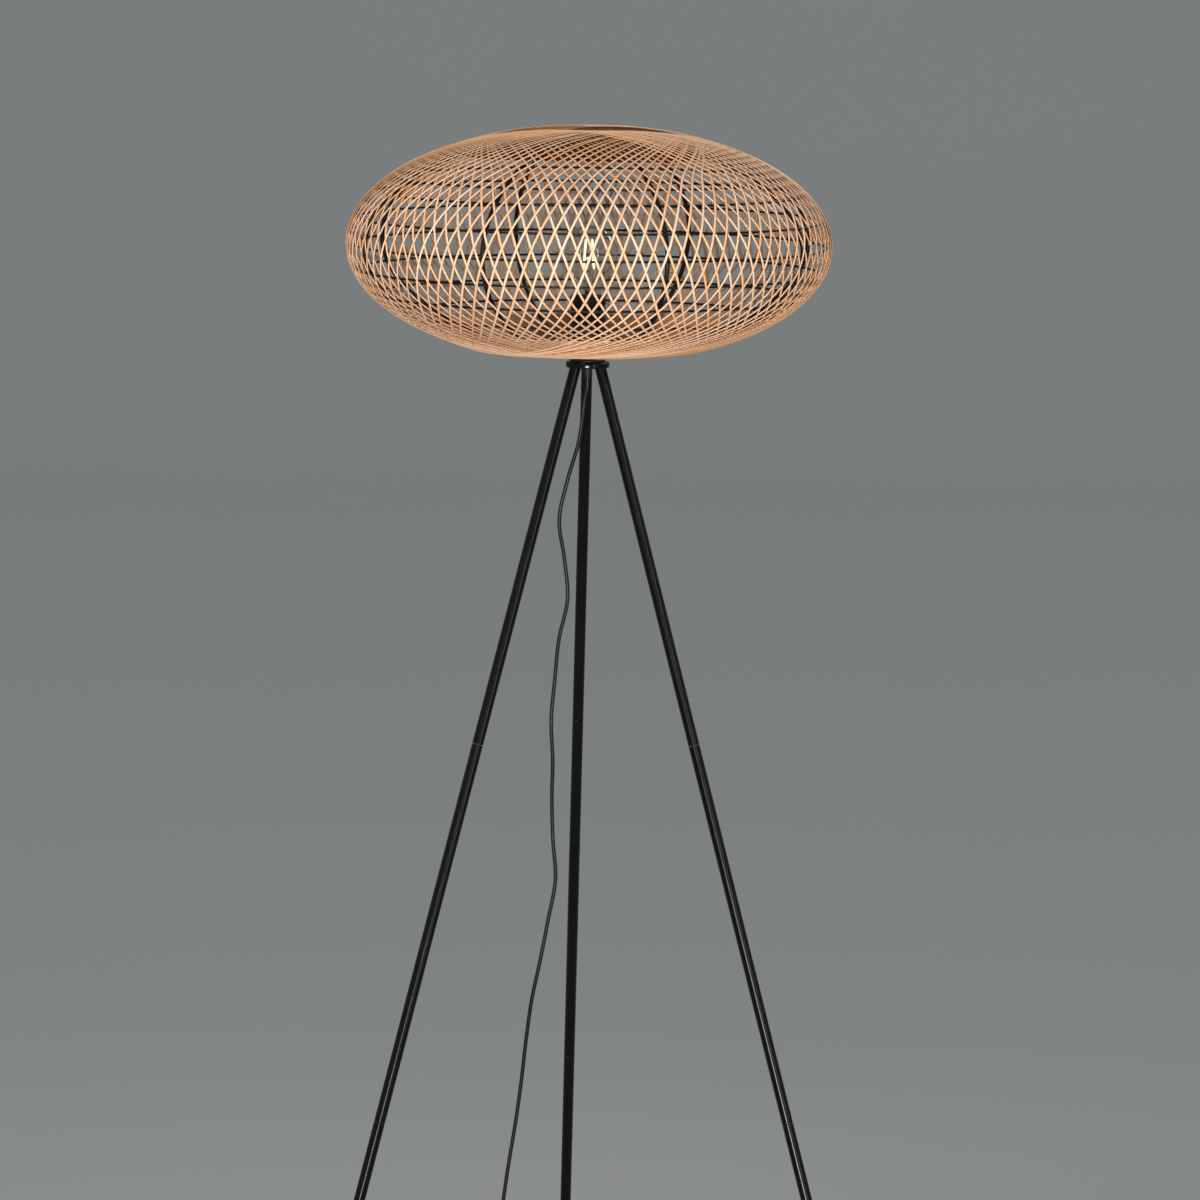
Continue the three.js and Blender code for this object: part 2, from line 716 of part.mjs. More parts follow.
function bulb() {
  const contactBottom = holderBottom + insertTop + gap;
  const capBottom = contactBottom + bulbContactHeight / 2;
  const capTop = capBottom + bulbCapHeight;
  const capRadius = bulbCapDiameter / 2;
  const contactRadius = bulbContactDiameter / 2;
  piece('bulb_contact', turned([
    [0, contactBottom],
    [contactRadius * bulbContactTipShare, contactBottom],
    [contactRadius - gap, capBottom],
    [contactRadius - gap, contactBottom + bulbContactHeight],
    [0, contactBottom + bulbContactHeight],
  ], 14), 'ceramic');
  piece('bulb_cap', turned([
    [contactRadius, capBottom],
    [capRadius, capBottom + bulbContactHeight],
    [capRadius, capTop],
    [capRadius - bulbCapWall, capTop],
    [capRadius - bulbCapWall, capBottom + bulbContactHeight],
    [contactRadius, capBottom + bulbCapWall],
    [contactRadius, capBottom],
  ], 18), 'zinc');

  // The clear envelope: a globe that draws in through a waist to the neck inside the cap
  const top = holderTop + bulbAboveHolder;
  const globe = bulbDiameter / 2;
  const neckRadius = bulbNeckDiameter / 2 - gap / 2;
  const neckBottom = capTop - bulbNeckInCap;
  const envelope = (inset) => {
    const line = [];
    const radius = globe - inset;
    for (let i = 0; i <= globeSteps; i += 1) {
      const turn = Math.PI / 2 + ((globeLowest - Math.PI / 2) * i) / globeSteps;
      line.push([Math.max(0, radius * Math.cos(turn)), top - globe + radius * Math.sin(turn)]);
    }
    const waist = line[line.length - 1];
    const foot = [neckRadius - inset, capTop + bulbGlassWall];
    for (let i = 1; i <= waistSteps; i += 1) {
      const share = i / waistSteps;
      const ease = 1 - (1 - share) ** 2;
      const radiusHere = THREE.MathUtils.lerp(waist[0], foot[0], ease);
      line.push([radiusHere, THREE.MathUtils.lerp(waist[1], foot[1], share)]);
    }
    line.push([neckRadius - inset, neckBottom]);
    return line;
  };
  piece('bulb_glass', turned([...envelope(0), ...envelope(bulbGlassWall).reverse()], 14), 'glass');
  const stemFoot = neckRadius - bulbGlassWall - gap;
  const stemBottom = neckBottom + gap;
  const lean = Math.asin((filamentCircleFoot - filamentCircleTop) / filamentLength);
  const filamentFoot = top - globe + filamentTop - filamentLength * Math.cos(lean);
  const stemTop = filamentFoot - gap;
  const stemRadius = stemDiameter / 2;
  const stemHead = filamentCircleFoot + filamentDiameter;
  piece('bulb_stem', turned([
    [0, stemBottom],
    [stemFoot, stemBottom],
    [stemFoot, stemBottom + stemFootHeight],
    [stemRadius, stemBottom + stemFootHeight + stemShoulderHeight],
    [stemRadius, stemTop - stemDiameter],
    [stemRadius / 2, stemTop - stemHeadThickness],
    [stemHead, stemTop - stemHeadThickness],
    [stemHead, stemTop],
    [0, stemTop],
  ], 12), 'glass');
  filaments(filamentFoot, lean);
}

// Glowing rods that stand round the stem's head, closer together above
function filaments(foot, lean) {
  for (let i = 0; i < filamentCount; i += 1) {
    const around = new THREE.Group();
    around.rotation.z = Math.PI / filamentCount + (2 * Math.PI * i) / filamentCount;
    axis.add(around);
    const rod = cylinder(filamentDiameter / 2, filamentLength, 6);
    const mesh = piece(`bulb_filament_${i + 1}`, rod, 'filament', around);
    mesh.rotation.y = -lean;
    const middle = (filamentCircleTop + filamentCircleFoot) / 2;
    mesh.position.set(middle, 0, foot + (filamentLength / 2) * Math.cos(lean));
  }
}

// The route of the free cord, from the gland down to its switch on the floor
const cordRadius = cordDiameter / 2;
const cordRest = cordRadius + floorClearance;
const glandFoot = hubBottom - glandLength;
const switchMiddle = floorClearance + switchBaseHeight + gap / 2;
const switchHead = new THREE.Vector3(-176, -5, switchMiddle);
const cordRoute = [
  [0, 0, 1144],
  [-0.4, 0, 1134],
  [-2.8, -1, 1122.5],
  [-8, -3, 1081],
  [-19.7, -5, 1039],
  [-27.5, -3, 998],
  [-21.4, 2, 956],
  [-17.7, 4, 915],
  [-26.3, 1, 873],
  [-30.3, -3, 831],
  [-33.5, -4, 789],
  [-31.4, -1, 747],
  [-31.6, 3, 705],
  [-30, 4, 663],
  [-27.1, 1, 621],
  [-34.4, -2, 579],
  [-42.1, -3, 537],
  [-50.5, -1, 494],
  [-55.7, 2, 452],
  [-60, 4, 409],
  [-65.3, 3, 367],
  [-72, 1, 324],
  [-77.1, 0, 287],
  [-83, -2, 235],
  [-89, -4, 180],
  [-94, -5, 130],
  [-99, -5, 85],
  [-107, -5, 47],
  [-122, -5, 17],
  [-142, -5, 5],
  [-160, -5, 6.5],
  [-170, -5, 8.1],
];

function cordRun() {
  const points = cordRoute.map(([x, y, z]) => new THREE.Vector3(x, y, z));
  points[0].z = glandFoot - gap;
  points[points.length - 1].z = switchMiddle;
  points.push(new THREE.Vector3(switchHead.x + gap, switchHead.y, switchMiddle));
  const curve = new THREE.CatmullRomCurve3(points, false, 'centripetal');
  piece('cord_hanging', wire(curve, cordRadius, 6, 52), 'cordSheath');
  return curve.getLength();
}

// The rest of the cord: from the switch into a flat coil of two layers, and on to the plug
function coilPoint(turns, centre) {
  const back = coilTurnsPerLayer + coilClimbTurns;
  const inner = coilOuterRadius - coilSpacing * coilTurnsPerLayer;
  let radius = coilOuterRadius - coilSpacing * turns;
  let height = cordRest;
  if (turns > coilTurnsPerLayer) {
    const share = Math.min(1, (turns - coilTurnsPerLayer) / coilClimbTurns);
    radius = inner - coilTuck * Math.sin(Math.PI * share);
    height = cordRest + (coilSpacing * (1 - Math.cos(Math.PI * share))) / 2;
  }
  if (turns > back) radius = inner + coilSpacing * (turns - back);
  const angle = -Math.PI / 2 - 2 * Math.PI * turns;
  return new THREE.Vector3(
    centre.x + radius * Math.cos(angle), centre.y + radius * Math.sin(angle), height);
}

function cordCoil() {
  const tail = switchHead.x - switchLength - gap;
  const lead = coilOuterRadius + coilApproach;
  const centre = new THREE.Vector3(tail - lead, switchHead.y + coilOuterRadius, 0);
  const points = [];
  const heights = [switchMiddle, switchMiddle, (switchMiddle + cordRest) / 2, cordRest];
  coilApproachShares.forEach((share, i) => points.push(
    new THREE.Vector3(tail - lead * share, switchHead.y, heights[i])));
  const turns = coilTurnsPerLayer * 2 + coilClimbTurns;
  const steps = turns * coilStepsPerTurn;
  for (let i = 1; i <= steps; i += 1) points.push(coilPoint((turns * i) / steps, centre));
  const last = points[points.length - 1];
  const plugHead = centre.x + coilOuterRadius + plugLead;
  const plugMiddle = plugThickness / 2 + floorClearance;
  const level = plugLeadShares[1];
  plugLeadShares.forEach((share) => points.push(new THREE.Vector3(
    THREE.MathUtils.lerp(last.x, plugHead - gap, share),
    last.y,
    THREE.MathUtils.lerp(last.z, plugMiddle, Math.min(1, share / level)),
  )));
  const curve = new THREE.CatmullRomCurve3(points, false, 'centripetal');
  piece('cord_coil', wire(curve, cordRadius, 6, points.length - 1), 'cordSheath');
  reportCoilGap(curve);
  return { length: curve.getLength(), plugHead, plugSide: last.y, plugMiddle };
}

// The least space between one turn of the coil and another
function reportCoilGap(curve) {
  const length = curve.getLength();
  const count = Math.round(length);
  const points = curve.getSpacedPoints(count);
  const apart = (coilGapReach * count) / length;
  let least = Infinity;
  for (let i = 0; i < points.length; i += 1) {
    for (let j = i + Math.ceil(apart); j < points.length; j += 1) {
      least = Math.min(least, points[i].distanceTo(points[j]));
    }
  }
  console.log(`coil: least gap to itself ${(least - cordDiameter).toFixed(2)} mm`);
}

function roundedOutline(length, width, corner) {
  const [x, y] = [length / 2, width / 2];
  const shape = new THREE.Shape();
  shape.moveTo(-x + corner, -y);
  shape.lineTo(x - corner, -y);
  shape.absarc(x - corner, -y + corner, corner, -Math.PI / 2, 0);
  shape.lineTo(x, y - corner);
  shape.absarc(x - corner, y - corner, corner, 0, Math.PI / 2);
  shape.lineTo(-x + corner, y);
  shape.absarc(-x + corner, y - corner, corner, Math.PI / 2, Math.PI);
  shape.lineTo(-x, -y + corner);
  shape.absarc(-x + corner, -y + corner, corner, Math.PI, Math.PI * 1.5);
  return shape;
}

// The switch on the cord: two half shells and a rocker that tips on its own axle
function cordSwitch() {
  const corner = switchWidth * switchCornerShare;
  const middleX = switchHead.x - switchLength / 2;
  const station = new THREE.Group();
  station.position.set(middleX, switchHead.y, floorClearance);
  axis.add(station);
  const outline = roundedOutline(switchLength, switchWidth, corner);
  const slab = (height) => closed(new THREE.ExtrudeGeometry(outline,
    { depth: height, bevelEnabled: false, curveSegments: 4 }));
  const windowLength = rockerLength + rockerClearance * 2;
  const windowWidth = rockerWidth + gap * 2;
  const pivot = switchHeight - rockerPivotDepth;
  const well = new THREE.BoxGeometry(windowLength, windowWidth, switchHeight);
  well.translate(0, 0, switchFloorThickness + switchHeight / 2);
  const base = toSolid(slab(switchBaseHeight)).subtract(toSolid(well));
  piece('switch_base', toGeometry(base), 'blackPlastic', station);
  const coverHeight = switchHeight - switchBaseHeight - gap;
  let cover = toSolid(slab(coverHeight).translate(0, 0, switchBaseHeight + gap));
  cover = cover.subtract(toSolid(well));
  const bearing = axleDiameter / 2 + gap;
  const seat = new THREE.CylinderGeometry(bearing, bearing, axleLength + gap * 2, 12);
  cover = cover.subtract(toSolid(seat.translate(0, 0, pivot)));
  const entry = new THREE.BoxGeometry(bearing * 2, axleLength + gap * 2, pivot);
  cover = cover.subtract(toSolid(entry.translate(0, 0, pivot / 2)));
  piece('switch_cover', toGeometry(cover), 'blackPlastic', station);

  // The rocker is drawn level and stands tipped to one side
  const half = rockerLength / 2;
  const crown = rockerPivotDepth - gap;
  const profile = new THREE.Shape();
  const shoulder = -rockerThickness * rockerFootShares.shoulder;
  const sole = half * rockerFootShares.width;
  profile.moveTo(-half, crown * rockerCrownShares.end);
  profile.lineTo(0, crown * rockerCrownShares.middle);
  profile.lineTo(half, crown * rockerCrownShares.end);
  profile.lineTo(half - gap, shoulder);
  profile.lineTo(sole, -rockerThickness);
  profile.lineTo(-sole, -rockerThickness);
  profile.lineTo(-half + gap, shoulder);
  profile.closePath();
  const plate = new THREE.ExtrudeGeometry(profile, { depth: rockerWidth, bevelEnabled: false });
  plate.rotateX(Math.PI / 2).translate(0, rockerWidth / 2, 0);
  const axle = new THREE.CylinderGeometry(axleDiameter / 2, axleDiameter / 2, axleLength, 10);
  const rocker = toGeometry(toSolid(plate).add(toSolid(axle)));
  const mesh = piece('switch_rocker', rocker, 'blackPlastic', station);
  mesh.position.z = pivot;
  mesh.rotation.y = -rockerTilt;
}

// The plug: a flat moulded body that tapers to the cord, with two round pins
function plug(head, side, middle) {
  const tail = plugTail / 2;
  const face = plugWidth / 2;
  const outline = new THREE.Shape();
  const along = (name) => plugLength * plugAlongShares[name];
  const across = (name) => face * plugAcrossShares[name];
  const neck = tail * plugAcrossShares.neck;
  outline.moveTo(0, -tail);
  outline.lineTo(along('neck'), -neck);
  outline.quadraticCurveTo(along('shoulder'), -across('shoulder'), along('flank'), -across('flank'));
  outline.lineTo(along('corner'), -face);
  outline.lineTo(plugLength, -across('face'));
  outline.lineTo(plugLength, across('face'));
  outline.lineTo(along('corner'), face);
  outline.lineTo(along('flank'), across('flank'));
  outline.quadraticCurveTo(along('shoulder'), across('shoulder'), along('neck'), neck);
  outline.lineTo(0, tail);
  outline.closePath();
  const bevel = plugThickness * plugBevelShare;
  const body = closed(new THREE.ExtrudeGeometry(outline, {
    depth: plugThickness - bevel * 2,
    bevelThickness: bevel,
    bevelSize: bevel / 2,
    bevelOffset: -bevel / 2,
    bevelSegments: 1,
    curveSegments: 4,
  }));
  const seat = new THREE.Group();
  seat.position.set(head, side, middle);
  axis.add(seat);
  piece('plug_body', body.translate(0, 0, bevel - plugThickness / 2), 'blackPlastic', seat);
  for (const hand of [1, -1]) {
    const pin = new THREE.CylinderGeometry(pinDiameter / 2, pinDiameter / 2, pinLength, 12);
    pin.rotateZ(Math.PI / 2);
    const mesh = piece(`plug_pin_${hand > 0 ? 'a' : 'b'}`, closed(pin), 'zinc', seat);
    mesh.position.set(plugLength + gap + pinLength / 2, (hand * pinPitch) / 2, 0);
  }
}

hub();
centreFixings();
legs();
shadeCarrier();
wireFrame();
wovenShade();
lampHolder();
bulb();
const runLength = cordRun();
cordSwitch();
const coil = cordCoil();
plug(coil.plugHead, coil.plugSide, coil.plugMiddle);
const cordLength = runLength + switchLength + coil.length;
console.log(`cord: ${runLength.toFixed(0)} mm to the switch, ${coil.length.toFixed(0)} mm after it`);
console.log(`cord and switch: ${cordLength.toFixed(0)} mm in all`);

// The lamp stands centred over the origin, the cord and what is on it left out of account
const cordPieces = /^(cord_|switch_|plug_)/;
const reach = new THREE.Box3();
lamp.updateMatrixWorld(true);
lamp.traverse((node) => {
  if (!node.isMesh || cordPieces.test(node.name)) return;
  const box = new THREE.Box3().setFromObject(node, true);
  reach.union(box);
});
const centre = reach.getCenter(new THREE.Vector3());
axis.position.set(-centre.x, -centre.y, -reach.min.z);
lamp.updateMatrixWorld(true);

export default lamp;
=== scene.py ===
# A floor lamp: a shade wound from cane strands over a wire frame, on a thin black tripod.
import json
import math

import bmesh
import bpy
import numpy as np
from mathutils import Matrix, Vector


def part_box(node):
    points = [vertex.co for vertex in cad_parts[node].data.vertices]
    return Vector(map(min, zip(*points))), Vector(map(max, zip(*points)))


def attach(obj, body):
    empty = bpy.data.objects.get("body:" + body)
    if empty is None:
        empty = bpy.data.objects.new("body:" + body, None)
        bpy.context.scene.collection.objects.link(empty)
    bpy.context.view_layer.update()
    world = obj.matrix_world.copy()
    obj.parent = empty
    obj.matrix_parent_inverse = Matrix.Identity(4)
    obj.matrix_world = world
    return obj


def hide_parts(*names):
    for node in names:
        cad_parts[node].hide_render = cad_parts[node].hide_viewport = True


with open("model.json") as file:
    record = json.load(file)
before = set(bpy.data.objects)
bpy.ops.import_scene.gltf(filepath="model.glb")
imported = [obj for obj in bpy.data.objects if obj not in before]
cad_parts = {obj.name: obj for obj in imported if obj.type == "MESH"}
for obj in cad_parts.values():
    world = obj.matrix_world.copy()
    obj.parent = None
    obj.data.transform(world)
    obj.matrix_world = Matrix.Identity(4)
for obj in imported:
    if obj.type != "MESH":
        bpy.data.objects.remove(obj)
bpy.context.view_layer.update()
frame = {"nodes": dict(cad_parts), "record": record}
nodes = frame["nodes"]
mm = 0.001

# Clearance between pieces that touch
gap = 0.0003

# Places that follow from the frame
hubLow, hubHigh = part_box("hub_plate")
lampAxis = Vector(((hubLow.x + hubHigh.x) / 2, (hubLow.y + hubHigh.y) / 2, 0))
axisPlace = Matrix.Translation(lampAxis)

# The shade is a flattened ball; its centre stands this far above the hub
shade = {
    "radius": 0.250,
    "halfHeight": 0.1233,
    "aboveHub": 0.12071,
    "weaveThickness": 0.003,
    "topOpening": 0.098,
    "bottomOpening": 0.108,
}
shadeCentre = lampAxis + Vector((0, 0, hubHigh.z + shade["aboveHub"]))


# Camera, at the photograph's place and angles
camera = {
    "fromShade": (-0.29250, -6.50376, 0.44156),
    "yaw": 2.7132,
    "pitch": 7.0871,
    "roll": -0.7054,
    "lens": 190.37,
    "sensor": 36.0,
    "farthest": 200,
}


def addCamera():
    yaw, pitch, roll = (math.radians(camera[name]) for name in ("yaw", "pitch", "roll"))
    level = math.cos(pitch)
    forward = Vector((math.sin(yaw) * level, math.cos(yaw) * level, -math.sin(pitch)))
    right = Vector((math.cos(yaw), -math.sin(yaw), 0))
    down = forward.cross(right)
    tiltedRight = right * math.cos(roll) + down * math.sin(roll)
    tiltedDown = down * math.cos(roll) - right * math.sin(roll)
    place = Matrix((tiltedRight, -tiltedDown, -forward)).transposed().to_4x4()
    place.translation = shadeCentre + Vector(camera["fromShade"])
    data = bpy.data.cameras.new("photoCamera")
    data.sensor_fit = "HORIZONTAL"
    data.sensor_width = camera["sensor"]
    data.lens = camera["lens"]
    data.clip_end = camera["farthest"]
    view = bpy.data.objects.new("photoCamera", data)
    view.matrix_world = place
    bpy.context.scene.collection.objects.link(view)
    bpy.context.scene.camera = view


addCamera()
print("camera placed")


# Colours are written as sRGB hex values, and Blender takes linear ones
srgb = {"straightTo": 0.04045, "straightSlope": 12.92, "offset": 0.055, "power": 2.4}


def paint(code):
    shares = [int(code[i:i + 2], 16) / 255 for i in (1, 3, 5)]
    return (*[s / srgb["straightSlope"] if s <= srgb["straightTo"]
              else ((s + srgb["offset"]) / (1 + srgb["offset"])) ** srgb["power"] for s in shares], 1)


# Adds a node; an input takes a value or another node's output
def addNode(tree, kind, settings=None, inputs=None):
    node = tree.nodes.new(kind)
    for name, value in (settings or {}).items():
        setattr(node, name, value)
    for name, value in (inputs or {}).items():
        if isinstance(value, bpy.types.NodeSocket):
            tree.links.new(value, node.inputs[name])
        else:
            node.inputs[name].default_value = value
    return node


# Adds a node and gives one of its outputs
def made(tree, kind, output, inputs=None, settings=None):
    return addNode(tree, kind, settings, inputs).outputs[output]


def newMaterial(name, base, settings):
    material = bpy.data.materials.new(name)
    material.use_nodes = True
    tree = material.node_tree
    shader = tree.nodes["Principled BSDF"]
    shader.inputs["Base Color"].default_value = paint(base)
    for key, value in settings.items():
        shader.inputs[key].default_value = value
    return material, tree, shader


# Noise of a grain size in metres, on the piece's own coordinates or on those given
def grain(tree, size, detail=3.0, stretch=(1, 1, 1), place=None, roughness=0.55):
    if place is None:
        place = made(tree, "ShaderNodeTexCoord", "Object")
    drawn = made(tree, "ShaderNodeMapping", "Vector", {"Vector": place, "Scale": stretch})
    return made(tree, "ShaderNodeTexNoise", "Fac", {
        "Vector": drawn, "Scale": 1 / size, "Detail": detail, "Roughness": roughness})


# Spreads a value over a range; it stops at the ends of the range that it comes from
def spread(tree, value, low, high, start=0.0, end=1.0, shape="LINEAR"):
    ends = {"From Min": start, "From Max": end, "To Min": low, "To Max": high}
    return made(tree, "ShaderNodeMapRange", "Result", {"Value": value, **ends},
                {"interpolation_type": shape})


def combined(tree, operation, first, second=0.0):
    return made(tree, "ShaderNodeMath", "Value", {0: first, 1: second}, {"operation": operation})


def bump(tree, shader, height, distance, strength):
    normal = made(tree, "ShaderNodeBump", "Normal", {
        "Height": height, "Distance": distance, "Strength": strength})
    tree.links.new(normal, shader.inputs["Normal"])


# Mixes two colours by a share
def blended(tree, share, first, second):
    node = addNode(tree, "ShaderNodeMix", {"data_type": "RGBA"})
    tree.links.new(share, node.inputs["Factor"])
    for socket, value in zip([s for s in node.inputs if s.type == "RGBA"], (first, second)):
        if isinstance(value, str):
            socket.default_value = paint(value)
        else:
            tree.links.new(value, socket)
    return [s for s in node.outputs if s.type == "RGBA"][0]


# Peeled cane, split and wound: a satin skin with fine fibres along it, no two strands of one tone.
# Its sides and inner face carry painted shade, and strands under the others carry more painted shade,
# which draws each strand's outline.
cane = {
    "deep": "#CB9766",
    "pale": "#E8CDB6",
    "mottle": "#DBAC82",
    "fibre": "#B87B49",
    "paintedSideShade": "#562805",
    "paintedInnerShade": "#7C4015",
    "paintedShade": "#482005",
    "fibreScale": (30, 7, 40),
    "patch": 0.035,
    "gloss": 0.18,
    "glossEnds": 0.6,
}


def caneMaterial():
    material, tree, shader = newMaterial("peeledCane", "#DDAC80", {
        "IOR": 1.52, "Roughness": 0.6, "Specular IOR Level": cane["gloss"]})
    marks = {name: made(tree, "ShaderNodeAttribute", "Fac", settings={"attribute_name": name})
             for name in ("tone", "under", "sides", "along", "across", "facing")}
    place = made(tree, "ShaderNodeCombineXYZ", "Vector", {
        "X": marks["along"], "Y": marks["across"], "Z": marks["tone"]})
    fibres = grain(tree, 1, detail=4.0, stretch=cane["fibreScale"], place=place, roughness=0.6)
    patches = grain(tree, cane["patch"], detail=2.0)

    strand = blended(tree, marks["tone"], cane["deep"], cane["pale"])
    mottled = blended(tree, spread(tree, patches, low=0.0, high=0.5), strand, cane["mottle"])
    streaked = blended(tree, spread(tree, fibres, low=-0.3, high=0.7), mottled, cane["fibre"])
    # Painted shade on the strand's two sides, lessened where strands are packed
    fromEdge = combined(tree, "ABSOLUTE", marks["facing"])
    side = spread(tree, fromEdge, low=0.9, high=0.0, start=0.04, end=0.3, shape="SMOOTHSTEP")
    sideShaded = blended(tree, combined(tree, "MULTIPLY", side, marks["sides"]), streaked, cane["paintedSideShade"])
    # Painted shade on the strand's inner face, lessened where strands are packed
    inner = spread(tree, marks["facing"], low=0.22, high=0.0, start=-0.3, end=0.1)
    innerShaded = blended(tree, combined(tree, "MULTIPLY", inner, marks["sides"]), sideShaded, cane["paintedInnerShade"])
    # Painted shade on strands that lie under others, deepest for the lowest round
    paintedShade = blended(tree, marks["under"], innerShaded, cane["paintedShade"])

    tree.links.new(paintedShade, shader.inputs["Base Color"])
    tree.links.new(spread(tree, fibres, low=0.45, high=0.68), shader.inputs["Roughness"])
    # The gloss fades where the painted shade is deep
    gloss = spread(tree, marks["under"], low=cane["gloss"], high=0.0, end=cane["glossEnds"])
    tree.links.new(gloss, shader.inputs["Specular IOR Level"])
    bump(tree, shader, fibres, distance=0.0002, strength=0.6)
    return material


# Kinds of skin, each made uneven by noise: steel with a powder coat that has a faint orange peel,
# plastic or rubber with the fine grain of its mould, and metal with turning marks round the upright
# axis. "share" is how far the second colour comes through, in clouds of a size in metres.
skinKinds = {
    "powder": {"settings": {"IOR": 1.5, "Specular IOR Level": 0.22}, "cloud": 0.03, "share": 0.5,
               "detail": 2.0, "stretch": (1, 1, 1), "drift": (-0.06, 0.08), "relief": 0.5},
    "moulded": {"settings": {"IOR": 1.49, "Specular IOR Level": 0.2}, "cloud": 0.012, "share": 0.6,
                "detail": 2.0, "stretch": (1, 1, 1), "drift": (-0.07, 0.09), "relief": 0.6},
    "metal": {"settings": {"Metallic": 1.0}, "cloud": None, "share": 0.7,
              "detail": 3.0, "stretch": (0.2, 0.2, 6), "drift": (-0.08, 0.14), "relief": 0.4},
}
# Skins as (kind, name, colour, second colour, roughness, grain size, grain depth)
skins = {
    "coated_steel": ("powder", "blackPowderCoat", "#040404", "#0D0D0C", 0.17, 0.0016, 0.00002),
    "frame_wire": ("powder", "blackWirePaint", "#060606", "#0D0D0C", 0.46, 0.0016, 0.00002),
    "foot_rubber": ("moulded", "footRubber", "#141414", "#222120", 0.8, 0.0009, 0.00006),
    "black_plastic": ("moulded", "mouldedBlackPlastic", "#0F0F10", "#1B1B1B", 0.42, 0.0006, 0.00003),
    "dark_plastic": ("moulded", "mouldedDarkPlastic", "#1D1D1E", "#2A2A2A", 0.5, 0.0006, 0.00003),
    "cord_sheath": ("moulded", "softVinylSheath", "#0E0E0F", "#1A1A1B", 0.38, 0.0012, 0.00004),
    "ceramic": ("moulded", "glazedPorcelain", "#E4DFD4", "#EFEBE2", 0.22, 0.004, 0.00003),
    "shell_brass": ("metal", "drawnBrass", "#C39A52", "#A87F3E", 0.28, 0.002, 0.00003),
    "plated_steel": ("metal", "nickelPlate", "#C3C2BE", "#A3A29F", 0.24, 0.002, 0.00003),
}


def skin(kind, name, base, second, roughness, size, depth):
    form = skinKinds[kind]
    material, tree, shader = newMaterial(name, base, {**form["settings"], "Roughness": roughness})
    fine = grain(tree, size, form["detail"], form["stretch"])
    cloud = grain(tree, form["cloud"]) if form["cloud"] else fine
    tone = blended(tree, spread(tree, cloud, low=0.0, high=form["share"]), base, second)
    tree.links.new(tone, shader.inputs["Base Color"])
    smoother, rougher = form["drift"]
    uneven = spread(tree, cloud if kind == "powder" else fine, low=roughness + smoother,
                    high=roughness + rougher)
    tree.links.new(uneven, shader.inputs["Roughness"])
    bump(tree, shader, fine, depth, form["relief"])
    return material


# Blown clear glass, with the slight waves of its mould
def bulbGlass():
    material, tree, shader = newMaterial("blownGlass", "#F8F6F1", {
        "IOR": 1.47, "Roughness": 0.0, "Transmission Weight": 1.0})
    bump(tree, shader, grain(tree, 0.02, detail=1.0), distance=0.0001, strength=0.3)
    return material


# A row of small light sources under yellow phosphor resin, lit
def phosphorRod():
    material, tree, shader = newMaterial("phosphorRod", "#F7C96F", {
        "IOR": 1.41, "Roughness": 0.4, "Emission Strength": 2.6})
    cells = grain(tree, 0.0022, detail=1.0, stretch=(0.3, 0.3, 1))
    glow = blended(tree, spread(tree, cells, low=0.0, high=1.0), "#FFD58A", "#FFF0CC")
    tree.links.new(glow, shader.inputs["Emission Color"])
    return material


finishes = {
    "rattan": caneMaterial(),
    "clear_glass": bulbGlass(),
    "filament": phosphorRod(),
    **{slot: skin(*look) for slot, look in skins.items()},
}
print("materials made")


# Sweeps an oval section along the edges of a mesh; "outward" turns the section where it exists.
# Each point keeps how far along the path it is, and where on the section: "facing" and "across".
def sweptTree():
    tree = bpy.data.node_groups.new("sweptSection", "GeometryNodeTree")
    sockets = {"Geometry": "Geometry", "Width": "Float", "Thickness": "Float", "Sides": "Int",
               "Material": "Material"}
    for name, kind in sockets.items():
        tree.interface.new_socket(name, in_out="INPUT", socket_type=f"NodeSocket{kind}")
    tree.interface.new_socket("Geometry", in_out="OUTPUT", socket_type="NodeSocketGeometry")
    given = addNode(tree, "NodeGroupInput").outputs

    def step(kind, output, inputs=None, settings=None):
        return made(tree, f"GeometryNode{kind}", output, inputs, settings)

    def marked(geometry, name, value):
        return step("StoreNamedAttribute", "Geometry", {
            "Geometry": geometry, "Name": name, "Value": value}, {"domain": "POINT"})

    curve = step("MeshToCurve", "Curve", {"Mesh": given["Geometry"]})
    outward = addNode(tree, "GeometryNodeInputNamedAttribute", {"data_type": "FLOAT_VECTOR"}, {
        "Name": "outward"}).outputs
    turned = step("SetCurveNormal", "Curve", {
        "Curve": curve, "Selection": outward["Exists"], "Normal": outward["Attribute"]},
        {"mode": "FREE"})
    line = marked(turned, "along", step("SplineParameter", "Length"))

    circle = step("CurvePrimitiveCircle", "Curve", {"Resolution": given["Sides"], "Radius": 0.5})
    corner = addNode(tree, "ShaderNodeSeparateXYZ", inputs={
        "Vector": step("InputPosition", "Position")}).outputs
    faced = marked(marked(circle, "facing", corner["X"]), "across", corner["Y"])
    scale = made(tree, "ShaderNodeCombineXYZ", "Vector", {
        "X": given["Thickness"], "Y": given["Width"], "Z": 1.0})
    section = step("Transform", "Geometry", {"Geometry": faced, "Scale": scale})

    tube = step("CurveToMesh", "Mesh", {"Curve": line, "Profile Curve": section, "Fill Caps": True})
    smooth = step("SetShadeSmooth", "Geometry", {"Geometry": tube})
    whole = step("RealizeInstances", "Geometry", {"Geometry": smooth})
    dressed = step("SetMaterial", "Geometry", {"Geometry": whole, "Material": given["Material"]})
    addNode(tree, "NodeGroupOutput", inputs={"Geometry": dressed})
    return tree


sweepTree = sweptTree()


def meshObject(name, points, faces, edges=()):
    data = bpy.data.meshes.new(name)
    data.from_pydata([tuple(p) for p in points], list(edges), faces)
    obj = bpy.data.objects.new(name, data)
    bpy.context.scene.collection.objects.link(obj)
    return obj


